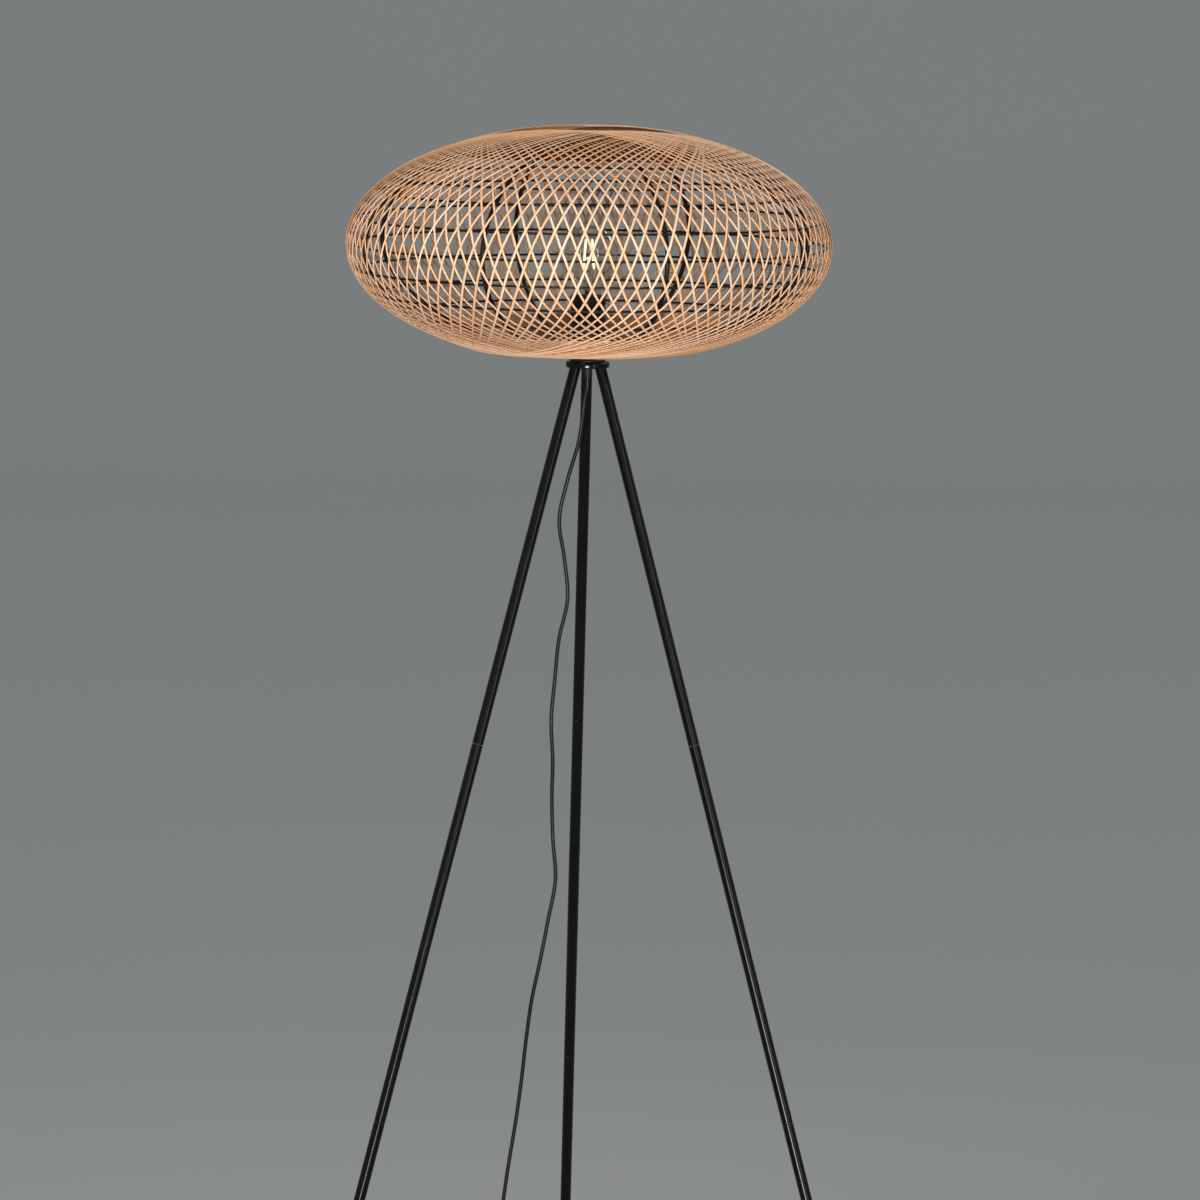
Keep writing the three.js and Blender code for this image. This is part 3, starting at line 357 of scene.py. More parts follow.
# Runs a Geometry Nodes tree on a mesh object and keeps its result as a plain mesh
def grown(obj, tree, settings):
    modifier = obj.modifiers.new("grow", "NODES")
    modifier.node_group = tree
    for item in tree.interface.items_tree:
        if item.in_out == "INPUT" and item.name in settings:
            modifier[item.identifier] = settings[item.name]
    bpy.context.view_layer.update()
    result = bpy.data.meshes.new_from_object(obj.evaluated_get(bpy.context.evaluated_depsgraph_get()))
    obj.modifiers.clear()
    result.name = obj.name
    obj.data = result
    return obj


# One swept piece from paths of points; each path may be closed and may carry attributes
def swept(name, paths, width, thickness, finish, sides, closed=False, marks=None):
    points = [p for path in paths for p in path]
    edges = []
    start = 0
    for path in paths:
        count = len(path)
        steps = count if closed else count - 1
        edges += [(start + i, start + (i + 1) % count) for i in range(steps)]
        start += count
    obj = meshObject(name, points, [], edges)
    for mark, values in (marks or {}).items():
        vector = np.ndim(values) == 2
        layer = obj.data.attributes.new(mark, "FLOAT_VECTOR" if vector else "FLOAT", "POINT")
        layer.data.foreach_set("vector" if vector else "value", np.asarray(values, np.float32).ravel())
    return grown(obj, sweepTree, {
        "Width": width, "Thickness": thickness, "Sides": sides, "Material": finishes[finish]})


# A profile of (radius, height) pairs turned round the local upright axis and then placed.
# A profile that doesn't reach the axis closes on itself. The form says how many sides it has, and
# from which angle between faces, in degrees, an edge stays sharp.
def lathe(name, profile, finish, form, place=None):
    onAxis, sides = 1e-7, form["sides"]
    mesh = bmesh.new()
    rings = []
    for radius, height in profile:
        turns = [2 * math.pi * i / sides for i in range(1 if radius < onAxis else sides)]
        rings.append([mesh.verts.new((radius * math.cos(turn), radius * math.sin(turn), height))
                      for turn in turns])
    hollow = len(rings[0]) > 1 and len(rings[-1]) > 1
    pairs = list(zip(rings, rings[1:])) + ([(rings[-1], rings[0])] if hollow else [])
    for lower, upper in pairs:
        for i in range(sides):
            corners = [lower[i % len(lower)], lower[(i + 1) % len(lower)],
                       upper[(i + 1) % len(upper)], upper[i % len(upper)]]
            corners = [v for k, v in enumerate(corners) if v not in corners[:k]]
            if len(corners) > 2:
                mesh.faces.new(corners)
    if place is not None:
        mesh.transform(place)
    return finished(name, mesh, finish, form["sharp"])


# Edges that turn by more than the sharp angle, in degrees, stay crisp
def finished(name, mesh, finish, sharp):
    bmesh.ops.recalc_face_normals(mesh, faces=mesh.faces)
    for face in mesh.faces:
        face.smooth = True
    for edge in mesh.edges:
        if len(edge.link_faces) == 2 and edge.calc_face_angle(0) > math.radians(sharp):
            edge.smooth = False
    data = bpy.data.meshes.new(name)
    mesh.to_mesh(data)
    mesh.free()
    data.materials.append(finishes[finish])
    obj = bpy.data.objects.new(name, data)
    bpy.context.scene.collection.objects.link(obj)
    return obj


def standsFor(obj, finish, *replaced, body="lamp"):
    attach(obj, body)
    if replaced:
        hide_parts(*replaced)
    return obj


# A turned piece that takes a CAD node's place, on the lamp's axis unless it is placed elsewhere
def turnedPiece(name, profile, finish, node, form, place=axisPlace):
    return standsFor(lathe(name, profile, finish, form, place), finish, node)


# A round wire along paths that takes a CAD node's place
def wirePiece(name, paths, diameter, finish, node, sides, closed=False):
    return standsFor(swept(name, paths, diameter, diameter, finish, sides, closed), finish, node)


# Wound cane from its own table, with its marks; it may take a CAD node's place
def canePiece(name, paths, form, marks, *node, closed=False):
    obj = swept(name, paths, form["width"], form["thickness"], "rattan", form["sides"], closed, marks)
    return standsFor(obj, "rattan", *node)


def cordPiece(name, line, node):
    return wirePiece(name, [line], cord["diameter"], "cord_sheath", node, cord["sides"])


# Cord: from the gland down to the switch on the floor, then a coil and the plug.
# Its route is written from the lamp's axis and the floor.
cord = {
    "diameter": 0.004,
    "route": [
        (0, 0, 1.144), (-0.0004, 0, 1.134), (-0.0028, -0.001, 1.1225), (-0.008, -0.003, 1.081),
        (-0.0197, -0.005, 1.039), (-0.0275, -0.003, 0.998), (-0.0214, 0.002, 0.956),
        (-0.0177, 0.004, 0.915), (-0.0263, 0.001, 0.873), (-0.0303, -0.003, 0.831),
        (-0.0335, -0.004, 0.789), (-0.0314, -0.001, 0.747), (-0.0316, 0.003, 0.705),
        (-0.030, 0.004, 0.663), (-0.0271, 0.001, 0.621), (-0.0344, -0.002, 0.579),
        (-0.0421, -0.003, 0.537), (-0.0505, -0.001, 0.494), (-0.0557, 0.002, 0.452),
        (-0.060, 0.004, 0.409), (-0.0653, 0.003, 0.367), (-0.072, 0.001, 0.324),
        (-0.0771, 0, 0.287), (-0.083, -0.002, 0.235), (-0.089, -0.004, 0.180),
        (-0.094, -0.005, 0.130), (-0.099, -0.005, 0.085), (-0.107, -0.005, 0.047),
        (-0.122, -0.005, 0.017), (-0.142, -0.005, 0.005), (-0.160, -0.005, 0.0065),
        (-0.170, -0.005, 0.0081),
    ],
    "rest": 0.0021,
    "side": -0.005,
    "coilRadius": 0.0265,
    "coilSpacing": 0.0047,
    "coilTurns": 2,
    "coilTuck": 0.0011,
    "coilClimb": 0.5,
    "coilSteps": 24,
    "approach": 0.006,
    "leadShares": (0, 0.25, 0.55, 0.85),
    "plugShares": (0.4, 0.75, 1),
    "levelFrom": 0.75,
    "samples": 12,
    "coilSamples": 3,
    "sides": 16,
}


# A smooth line through points, with knots spaced by the square root of their distances
def smoothLine(points, samples):
    shortest = 1e-9
    points = [Vector(p) for p in points]
    ends = [points[0] * 2 - points[1], *points, points[-1] * 2 - points[-2]]
    line = []
    for a, b, c, d in zip(ends, ends[1:], ends[2:], ends[3:]):
        knots = [0.0]
        for p, q in ((a, b), (b, c), (c, d)):
            knots.append(knots[-1] + math.sqrt(max((q - p).length, shortest)))
        for i in range(samples):
            t = knots[1] + (knots[2] - knots[1]) * i / samples
            one = a.lerp(b, (t - knots[0]) / (knots[1] - knots[0]))
            two = b.lerp(c, (t - knots[1]) / (knots[2] - knots[1]))
            three = c.lerp(d, (t - knots[2]) / (knots[3] - knots[2]))
            left = one.lerp(two, (t - knots[0]) / (knots[2] - knots[0]))
            right = two.lerp(three, (t - knots[1]) / (knots[3] - knots[1]))
            line.append(left.lerp(right, (t - knots[1]) / (knots[2] - knots[1])))
    return line + [points[-1]]


# A point of the coil: in along the floor, up half a turn, and out again over the first turns
def coilPoint(turns, centre):
    flat = cord["coilTurns"]
    back = flat + cord["coilClimb"]
    inner = cord["coilRadius"] - cord["coilSpacing"] * flat
    radius, height = cord["coilRadius"] - cord["coilSpacing"] * turns, cord["rest"]
    if turns > flat:
        share = min(1, (turns - flat) / cord["coilClimb"])
        radius = inner - cord["coilTuck"] * math.sin(math.pi * share)
        height = cord["rest"] + cord["coilSpacing"] * (1 - math.cos(math.pi * share)) / 2
    if turns > back:
        radius = inner + cord["coilSpacing"] * (turns - back)
    angle = -math.pi / 2 - 2 * math.pi * turns
    return Vector((centre.x + radius * math.cos(angle), centre.y + radius * math.sin(angle), height))


# Lays the cord; returns each run as its piece, its line, its far end and how it lies
def addCords():
    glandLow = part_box("cord_gland")[0]
    baseLow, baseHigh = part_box("switch_base")
    middle = (baseHigh.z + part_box("switch_cover")[0].z) / 2
    side = lampAxis.y + cord["side"]
    route = [lampAxis + Vector(p) for p in cord["route"]]
    route[0].z = glandLow.z - gap
    route[-1].z = middle
    route.append(Vector((baseHigh.x + gap, side, middle)))
    line = smoothLine(route, cord["samples"])
    hanging = cordPiece("hanging_cord", line, "cord_hanging")
    runs = [(hanging, line, "fitting", "hanging")]

    # The rest of the cord, from the switch's far end
    tail = baseLow.x - gap
    lead = cord["coilRadius"] + cord["approach"]
    centre = Vector((tail - lead, side + cord["coilRadius"], 0))
    heights = [middle, middle, (middle + cord["rest"]) / 2, cord["rest"]]
    route = [Vector((tail - lead * share, side, height))
             for share, height in zip(cord["leadShares"], heights)]
    turns = cord["coilTurns"] * 2 + cord["coilClimb"]
    steps = round(turns * cord["coilSteps"])
    route += [coilPoint(turns * i / steps, centre) for i in range(1, steps + 1)]
    last = route[-1]
    plugLow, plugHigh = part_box("plug_body")
    rise = (plugLow.z + plugHigh.z) / 2 - last.z
    reach = plugLow.x - gap - last.x
    for share in cord["plugShares"]:
        climbed = min(1, share / cord["levelFrom"])
        route.append(last + Vector((reach * share, 0, rise * climbed)))
    line = [Vector((p.x, p.y, max(p.z, cord["rest"]))) for p in smoothLine(route, cord["coilSamples"])]
    coiled = cordPiece("coiled_cord", line, "cord_coil")
    return [*runs, (coiled, line, "plug", "coiled")]


cordRuns = addCords()
print("cords laid")


# A point of the shade, some depth under its surface, and the way out of it
def shadePoint(azimuth, latitude, depth):
    a, b = shade["radius"], shade["halfHeight"]
    across, up = np.cos(latitude) / a, np.sin(latitude) / b
    slope = np.hypot(across, up)
    level, rise = across / slope, up / slope
    radius = a * np.cos(latitude) - depth * level
    height = b * np.sin(latitude) - depth * rise
    out = np.stack([level * np.cos(azimuth), level * np.sin(azimuth), rise], axis=-1)
    place = np.stack([radius * np.cos(azimuth), radius * np.sin(azimuth), height], axis=-1)
    return place + np.array(shadeCentre), out


# Weave: strands of cane that come over the top as the shortest way past the opening, cross the
# widest part of the shade and go round under the lower opening in the same way. They lie in rounds,
# each a layer over or under the last.
weave = {
    "rounds": 6,
    "perRound": 17,
    "topTurn": 180.0,
    "bottomTurn": -30.0,
    # How near the axis a strand comes, in millimetres, by the way it faces there in degrees
    "topReach": {
        -180: 98, -176: 92, -167: 82, -150: 70, -121: 61, -90: 60, -62: 59, -46: 73, -32: 86,
        -18: 96, -4: 100, 0: 99, 10: 106, 12: 92, 30: 72, 59: 61, 90: 60, 118: 59, 134: 73,
        148: 86, 162: 96, 176: 100, 180: 98,
    },
    "bottomReach": {
        -180: 106, -165: 111, -150: 120, -90: 118, -30: 119, -15: 110, 0: 106, 30: 119, 90: 118,
        150: 119, 180: 106,
    },
    # The even part runs like strands of this reach and ends at these shares of the way up or down
    "middleReach": 0.088,
    "topStar": 0.58,
    "bottomStar": 0.1,
    "width": 0.0027,
    "thickness": 0.0014,
    "inset": 0.0007,
    # How deep the rounds lie one under another, each strand in a round, and one hand's strands
    "order": (2, 0, 1),
    "roundLayer": 0.0005,
    "strandLayer": 0.00003,
    "handLayer": 0.0011,
    # How much painted shade the deepest round takes, and how much of the painted shade on the sides and
    # inner faces goes away where strands are packed
    "darkest": 0.6,
    "packed": 0.85,
    "steps": 24,
    "finerSteps": 8,
    "sides": 8,
    "reachJitter": 0.0012,
    "turnJitter": 0.5,
    "seed": 11,
}


# Half a strand from where it is nearest the axis to the widest part: latitudes and turns
def halfStrand(reach):
    a, b = shade["radius"], shade["halfHeight"]
    finer = weave["finerSteps"]
    going = np.linspace(0, math.pi / 2, weave["steps"] * finer + 1)
    sine = math.sqrt(1 - (reach / a) ** 2) * np.cos(going)
    cosine2 = 1 - sine ** 2
    rate = reach * np.sqrt(a * a * sine ** 2 + b * b * cosine2) / (a * a * cosine2)
    turn = np.concatenate(([0.0], np.cumsum((rate[1:] + rate[:-1]) / 2 * np.diff(going))))
    return np.arcsin(sine[::finer]), turn[::finer]


# Even places on the widest part for strands whose ends come out uneven
def evenEnds(ends):
    pitch = 2 * math.pi / len(ends)
    base = ends[0] + float(np.mean([wrapped(e - ends[0] - pitch * i) for i, e in enumerate(ends)]))
    return [base + pitch * i for i in range(len(ends))]


def wrapped(angle):
    return (angle + math.pi) % (2 * math.pi) - math.pi


# The strands past one opening, evenly turned, each as near to it as the table says
def strandFamily(count, turn, reach, draw):
    family = []
    for i in range(count):
        normal = math.radians(turn + 360 * i / count + draw.normal() * weave["turnJitter"])
        nearest = np.interp(math.degrees(normal), list(reach), list(reach.values()), period=360) * mm
        nearest += draw.normal() * weave["reachJitter"]
        latitudes, turns = halfStrand(nearest)
        order = weave["order"][i // weave["perRound"] % len(weave["order"])]
        layer = order * weave["roundLayer"] + i % weave["perRound"] * weave["strandLayer"]
        family.append({"normal": normal, "latitudes": latitudes, "turns": turns, "layer": layer,
                       "tone": draw.uniform()})
    return family


# The shift between two families that lets their ends meet best
def bestShift(ends, starts):
    count = len(ends)
    costs = [sum(wrapped(ends[i] - starts[(i + shift) % count]) ** 2 for i in range(count))
             for shift in range(count)]
    return int(np.argmin(costs))


# Azimuths of half a strand: even and steep about the widest part, and leaning its own way past that
def bentHalf(strand, hand, meet, start):
    up = np.abs(strand["latitudes"])
    latitudes, turns = halfStrand(weave["middleReach"])
    turned = np.interp(up, np.abs(latitudes[::-1]), turns[::-1])
    even = meet - hand * (turns[-1] - turned)
    own = strand["normal"] + hand * strand["turns"]
    own = even + wrapped(own - even)
    share = np.clip((up / abs(strand["latitudes"][0]) - start) / (1 - start), 0, 1)
    return even + (own - even) * share ** 2 * (3 - 2 * share)


# Closed windings, each as its points, their ways out, their tone, the painted shade under other strands
# and the painted shade on their sides
def weavePaths():
    draw = np.random.default_rng(weave["seed"])
    count = weave["rounds"] * weave["perRound"]
    top = strandFamily(count, weave["topTurn"], weave["topReach"], draw)
    bottom = strandFamily(count, weave["bottomTurn"], weave["bottomReach"], draw)
    ends = {(side, hand): evenEnds([s["normal"] + hand * s["turns"][-1] for s in family])
            for side, family in (("top", top), ("bottom", bottom)) for hand in (1, -1)}
    forward = bestShift(ends["top", 1], ends["bottom", -1])
    backward = bestShift(ends["top", -1], ends["bottom", 1])
    halves = {}
    for i in range(count):
        for hand, shift in ((1, forward), (-1, backward)):
            j = (i + shift) % count
            meet = ends["top", hand][i] - wrapped(ends["top", hand][i] - ends["bottom", -hand][j]) / 2
            halves["top", hand, i] = bentHalf(top[i], hand, meet, weave["topStar"])
            halves["bottom", -hand, j] = bentHalf(bottom[j], -hand, meet, weave["bottomStar"])

    # Each closed winding is followed from strand to strand until it meets its start
    windings = []
    waiting = set(range(count))
    while waiting:
        first = i = min(waiting)
        runs = []
        while True:
            waiting.discard(i)
            j = (i + forward) % count
            following = (j - backward) % count
            # A half strand runs away from its opening by one hand and back to it by the other
            stretches = (("top", top, i, 1, bottom[j]),
                         ("bottom", bottom, j, -1, top[i]),
                         ("bottom", bottom, j, 1, top[following]),
                         ("top", top, following, -1, bottom[j]))
            for side, family, index, hand, partner in stretches:
                strand = family[index]
                upward = 1 if side == "top" else -1
                latitude = strand["latitudes"] * upward
                share = np.abs(latitude) / abs(latitude[0])
                near = share ** 2
                under = (1 + hand * upward) / 2 * weave["handLayer"]
                depth = weave["inset"] + strand["layer"] * near + under * (1 - near)
                place, out = shadePoint(halves[side, hand, index], latitude, depth)
                tone = strand["tone"] * (1 + share) / 2 + partner["tone"] * (1 - share) / 2
                # Painted shade: deeper rounds near the openings darken, and packed strands lose part of
                # the painted shade on their sides and inner faces
                paintedShade = near * strand["layer"] / (weave["roundLayer"] * (len(weave["order"]) - 1))
                packed = near * max(0, 1 - strand["layer"] / weave["roundLayer"])
                stretch = (place, out, tone, weave["darkest"] * paintedShade, 1 - weave["packed"] * packed)
                runs.append([part[::hand][:-1] for part in stretch])
            i = following
            if i == first:
                break
        windings.append([np.concatenate(part) for part in zip(*runs)])
    return zip(*windings)


# The ways out of the shade, turned square to the path
def squareTo(path, out):
    along = np.roll(path, -1, axis=0) - np.roll(path, 1, axis=0)
    along /= np.linalg.norm(along, axis=1, keepdims=True)
    out = out - along * np.sum(out * along, axis=1, keepdims=True)
    return out / np.linalg.norm(out, axis=1, keepdims=True)


def addWeave():
    places, outs, tones, shadeShares, sides = weavePaths()
    marks = {"outward": np.concatenate([squareTo(p, o) for p, o in zip(places, outs)]),
             "tone": np.concatenate(tones), "under": np.concatenate(shadeShares),
             "sides": np.concatenate(sides)}
    obj = canePiece("woven_cane_shade", places, weave, marks, "woven_shade", closed=True)
    print("weave:", len(places), "closed windings,", len(obj.data.polygons) * 2, "triangles")


addWeave()


# Binding: turns of thinner cane close together round each opening, under the windings, darkened with
# painted shade
binding = {
    "width": 0.0028,
    "thickness": 0.0008,
    "pitch": 0.0027,
    "depth": 0.00255,
    "radii": {"top": (0.103, 0.158), "bottom": (0.111, 0.176)},
    # How much painted shade it takes at its lighter places and between them
    "under": {"top": (1.0, 1.0), "bottom": (0.0, 0.8)},
    "lightSide": -90,
    "lightPlaces": 3,
    "toneWave": 0.37,
    "steps": 72,
    "sides": 8,
}


def addBinding():
    for place, (inner, outer) in binding["radii"].items():
        side = 1 if place == "top" else -1
        low, high = (math.acos(radius / shade["radius"]) for radius in (outer, inner))
        fine = np.linspace(low, high, binding["steps"])
        points = shadePoint(np.zeros_like(fine), fine, binding["depth"])[0]
        run = float(np.sum(np.linalg.norm(np.diff(points, axis=0), axis=1)))
        turns = round(run / binding["pitch"])
        count = turns * binding["steps"]
        azimuths = np.linspace(0, 2 * math.pi * turns, count)
        path, out = shadePoint(azimuths, side * np.linspace(high, low, count), binding["depth"])
        # Painted shade: the whole top binding, and the lower one between three lighter places round it
        light, dark = binding["under"][place]
        fromLight = azimuths - math.radians(binding["lightSide"])
        wave = (1 - np.cos(binding["lightPlaces"] * fromLight)) / 2
        tone = (1 + np.sin(azimuths * binding["toneWave"])) / 2
        marks = {"outward": squareTo(path, out), "tone": tone, "under": light + (dark - light) * wave,
                 "sides": np.ones(count)}
        canePiece(f"cane_binding_{place}", [path], binding, marks)


addBinding()


# Wire frame inside the weave: rings at set heights and upright ribs
wires = {
    "openingRing": 0.0036,
    "ring": 0.0025,
    "rib": 0.0046,
    "ribs": 8,
    "ribTurn": -73.65,
    "heights": {
        "upper_end": 0.0675, "upper_outer": 0.0526, "upper_inner": 0.0258, "middle": -0.001,
        "lower_inner": -0.0272, "lower_outer": -0.0523, "lower_end": -0.072,
    },
    "ringSteps": 96,
    "ringSides": 10,
    "ribSteps": 48,
    "ribSides": 12,
}
topLatitude = math.acos(shade["topOpening"] / shade["radius"])
bottomLatitude = -math.acos(shade["bottomOpening"] / shade["radius"])
openingRingDepth = shade["weaveThickness"] + gap + wires["openingRing"] / 2
ribDepth = openingRingDepth + wires["openingRing"] / 2 + gap + wires["rib"] / 2
ringDepth = ribDepth - wires["rib"] / 2 - gap - wires["ring"] / 2


# The latitude at which a depth under the shade's surface has this height, found by halving
def latitudeAt(height, depth, halvings=40):
    low, high = bottomLatitude, topLatitude
    for _ in range(halvings):
        middle = (low + high) / 2
        place = shadePoint(0.0, middle, depth)[0]
        low, high = (middle, high) if place[2] - shadeCentre.z < height else (low, middle)
    return (low + high) / 2


def addWireFrame():
    rings = {"top_opening": (topLatitude, openingRingDepth, wires["openingRing"]),
             "bottom_opening": (bottomLatitude, openingRingDepth, wires["openingRing"])}
    for name, height in wires["heights"].items():
        rings[name] = (latitudeAt(height, ringDepth), ringDepth, wires["ring"])
    turns = np.linspace(0, 2 * math.pi, wires["ringSteps"], endpoint=False)
    for name, (latitude, depth, size) in rings.items():
        path = shadePoint(turns, np.full_like(turns, latitude), depth)[0]
        wirePiece(f"wire_ring_{name}", [path], size, "frame_wire", f"ring_{name}", wires["ringSides"],
                  closed=True)
    latitudes = np.linspace(bottomLatitude, topLatitude, wires["ribSteps"])
    for i in range(wires["ribs"]):
        azimuth = math.radians(wires["ribTurn"] + 360 / wires["ribs"] * i)
        path = shadePoint(np.full_like(latitudes, azimuth), latitudes, ribDepth)[0]
        wirePiece(f"wire_rib_{i + 1}", [path], wires["rib"], "frame_wire", f"rib_{i + 1}",
                  wires["ribSides"])


addWireFrame()
print("wire frame made")


# Tripod: three legs of three screwed sections, and a rubber foot with a groove on each
tripod = {
    "legNames": ("back", "left", "right"),
    "levels": ("upper", "middle", "lower"),
    "section": 0.400,
    "radius": 0.00575,
    "splay": 16.48,
    "circle": 0.015,
    "chamfer": 0.0003,
    "footRadius": 0.0075,
    "footGrip": 0.014,
    "footWall": 0.0014,
    "footGroove": ((0, 0.003), (0.0004, 0.0034), (0.0004, 0.0042), (0, 0.0046)),
    "footLip": (0.4, 0.25),
    "soleSpare": 0.02,
    "sides": 40,
    "sharp": 35,
}


# The points of a groove in a turned shape, each as its depth and its height over a start
def grooved(radius, start, groove, unit=1):
    return [(radius - depth, start + height * unit) for depth, height in groove]


def legPlace(i):
    turn = Matrix.Rotation(math.pi / 2 + 2 * math.pi * i / len(tripod["legNames"]), 4, "Z")
    slant = Matrix.Rotation(-math.radians(tripod["splay"]), 4, "Y")
    head = Matrix.Translation((tripod["circle"], 0, hubLow.z))
    return axisPlace @ turn @ head @ slant


# Slides the points past a level plane back along the leg onto it
def levelEnd(obj, along, height, below):
    for vertex in obj.data.vertices:
        over = vertex.co.z - height
        if (over < 0) == below:
            vertex.co -= along * (over / along.z)


# A section of a leg, square at its ends; the upper one is cut level under the hub
def addLegSection(leg, k, place, along):
    radius, chamfer = tripod["radius"], tripod["chamfer"]
    level = tripod["levels"][k]
    top = -k * tripod["section"]
    head = top + (radius if k == 0 else 0)
    foot = top - tripod["section"] + gap
    profile = [(0, head), (radius - chamfer, head), (radius, head - chamfer),
               (radius, foot + chamfer), (radius - chamfer, foot), (0, foot)]
    tube = turnedPiece(f"{leg}_leg_{level}", profile, "coated_steel", f"leg_{leg}_{level}", tripod,
                       place)
    if k == 0:
        levelEnd(tube, along, hubLow.z - gap, below=False)


def addFoot(leg, place, along):
    end = -len(tripod["levels"]) * tripod["section"]
    sole = -(hubLow.z / math.cos(math.radians(tripod["splay"]))) - tripod["soleSpare"]
    rim, hold = tripod["footRadius"], tripod["radius"] + gap
    wall, grip = tripod["footWall"], end + tripod["footGrip"]
    lipIn, lipDown = (wall * share for share in tripod["footLip"])
    profile = [(0, sole), (rim, sole), *grooved(rim, end, tripod["footGroove"]), (rim, grip - wall),
               (rim - lipIn, grip - lipDown), (hold, grip), (hold, end), (0, end)]
    foot = turnedPiece(f"{leg}_rubber_foot", profile, "foot_rubber", f"foot_{leg}", tripod, place)
    levelEnd(foot, along, 0, below=True)


for legIndex, legName in enumerate(tripod["legNames"]):
    legStand = legPlace(legIndex)
    legWay = (legStand.to_3x3() @ Vector((0, 0, 1))).normalized()
    for sectionIndex in range(len(tripod["levels"])):
        addLegSection(legName, sectionIndex, legStand, legWay)
    addFoot(legName, legStand, legWay)


# Hub: a disc with eased edges
hub = {
    "radius": 0.0225,
    "edge": 0.0008,
    "edgeShare": 0.3,
    "bore": 0.0053,
    "sides": 96,
    "sharp": 50,
}


def addHub():
    low, high, radius = hubLow.z, hubHigh.z, hub["radius"]
    edge = hub["edge"]
    part = edge * hub["edgeShare"]
    profile = [(hub["bore"], low), (radius - edge, low), (radius - part, low + part),
               (radius, low + edge), (radius, high - edge), (radius - part, high - part),
               (radius - edge, high), (hub["bore"], high)]
    turnedPiece("hub_disc", profile, "coated_steel", "hub_plate", hub)


# Strain relief under the hub: a cone in steps, given in shares of its height
gland = {
    "radius": 0.0044,
    "taper": 0.0012,
    "tipIn": 0.0006,
    "steps": 5,
    "firstStep": 0.1,
    "stepPitch": 0.17,
    "step": ((0, 0), (0, 0.10), (0.0004, 0.12), (0.0004, 0.16)),
    "edge": 0.0002,
    "sides": 40,
    "sharp": 35,
}


def addGland():
    low, high = (corner.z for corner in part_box("cord_gland"))
    neck, taper = gland["radius"], gland["taper"]
    height = hubLow.z - low
    profile = [(0, low), (neck - taper - gland["tipIn"], low)]
    for k in range(gland["steps"]):
        foot = low + height * (gland["firstStep"] + gland["stepPitch"] * k)
        profile += grooved(neck - taper * (1 - k / gland["steps"]), foot, gland["step"], height)
    profile += [(neck, hubLow.z - gland["edge"]), (neck, high), (0, high)]
    turnedPiece("cord_strain_relief", profile, "dark_plastic", "cord_gland", gland)


# Carrier of the shade: a plate clamped on the hub and three arms out to the lower opening's ring
carrier = {
    "plate": 0.018,
    "thickness": 0.002,
    "edge": 0.0003,
    "sides": 64,
    "sharp": 35,
    "arms": 3,
    "arm": 0.004,
    "armTurn": -92.5,
    "armSteps": 4,
    "armSides": 16,
}


def addCarrier():
    low = hubHigh.z + gap
    high = low + carrier["thickness"]
    rim, edge = carrier["plate"], carrier["edge"]
    profile = [(hub["bore"], low), (rim - edge, low), (rim, low + edge), (rim, high - edge),
               (rim - edge, high), (hub["bore"], high)]
    turnedPiece("shade_carrier_plate", profile, "frame_wire", "shade_carrier", carrier)

    ring = shadePoint(0.0, bottomLatitude, openingRingDepth)[0]
    thick = carrier["arm"] / 2
    start = Vector((rim - thick, 0, low + thick))
    end = Vector((ring[0] - lampAxis.x, 0, ring[2]))
    way = end - start
    end -= way.normalized() * (wires["openingRing"] / 2 + gap + thick * abs(way.z / way.x))
    shares = np.linspace(0, 1, carrier["armSteps"] + 1)
    paths = []
    for i in range(carrier["arms"]):
        turn = Matrix.Rotation(math.radians(carrier["armTurn"] + 360 / carrier["arms"] * i), 3, "Z")
        paths.append([lampAxis + turn @ start.lerp(end, share) for share in shares])
    wirePiece("shade_carrier_arms", paths, carrier["arm"], "frame_wire", "shade_carrier",
              carrier["armSides"])


addHub()
addGland()
addCarrier()
print("tripod and hub made")


# Lamp holder: a domed cap on a neck, and a sleeve with grip rings. Heights on the neck, the rise of
# the dome and the heights of the cap's inside are shares of the neck's depth.
holder = {
    "radius": 0.018,
    "height": 0.061,
    "capHeight": 0.027,
    "neck": 0.0085,
    "neckDepth": 0.008,
    "neckGroove": ((0, 0.35), (0.0004, 0.4), (0.0004, 0.55), (0, 0.6)),
    "domeRise": 1.2,
    "domeCurve": 0.9,
    "domeSteps": 8,
    "insideHeights": (2.2, 1.3),
    "wall": 0.0036,
    "capWall": 0.0024,
    "lip": 0.0005,
    "edge": 0.0008,
    "insertTop": 0.033,
    "grips": 4,
    "firstGrip": 0.006,
    "gripPitch": 0.0055,
    "grip": ((0, 0), (0.0006, 0.0006), (0.0006, 0.0014), (0, 0.002)),
    "sides": 72,
    "sharp": 40,
}


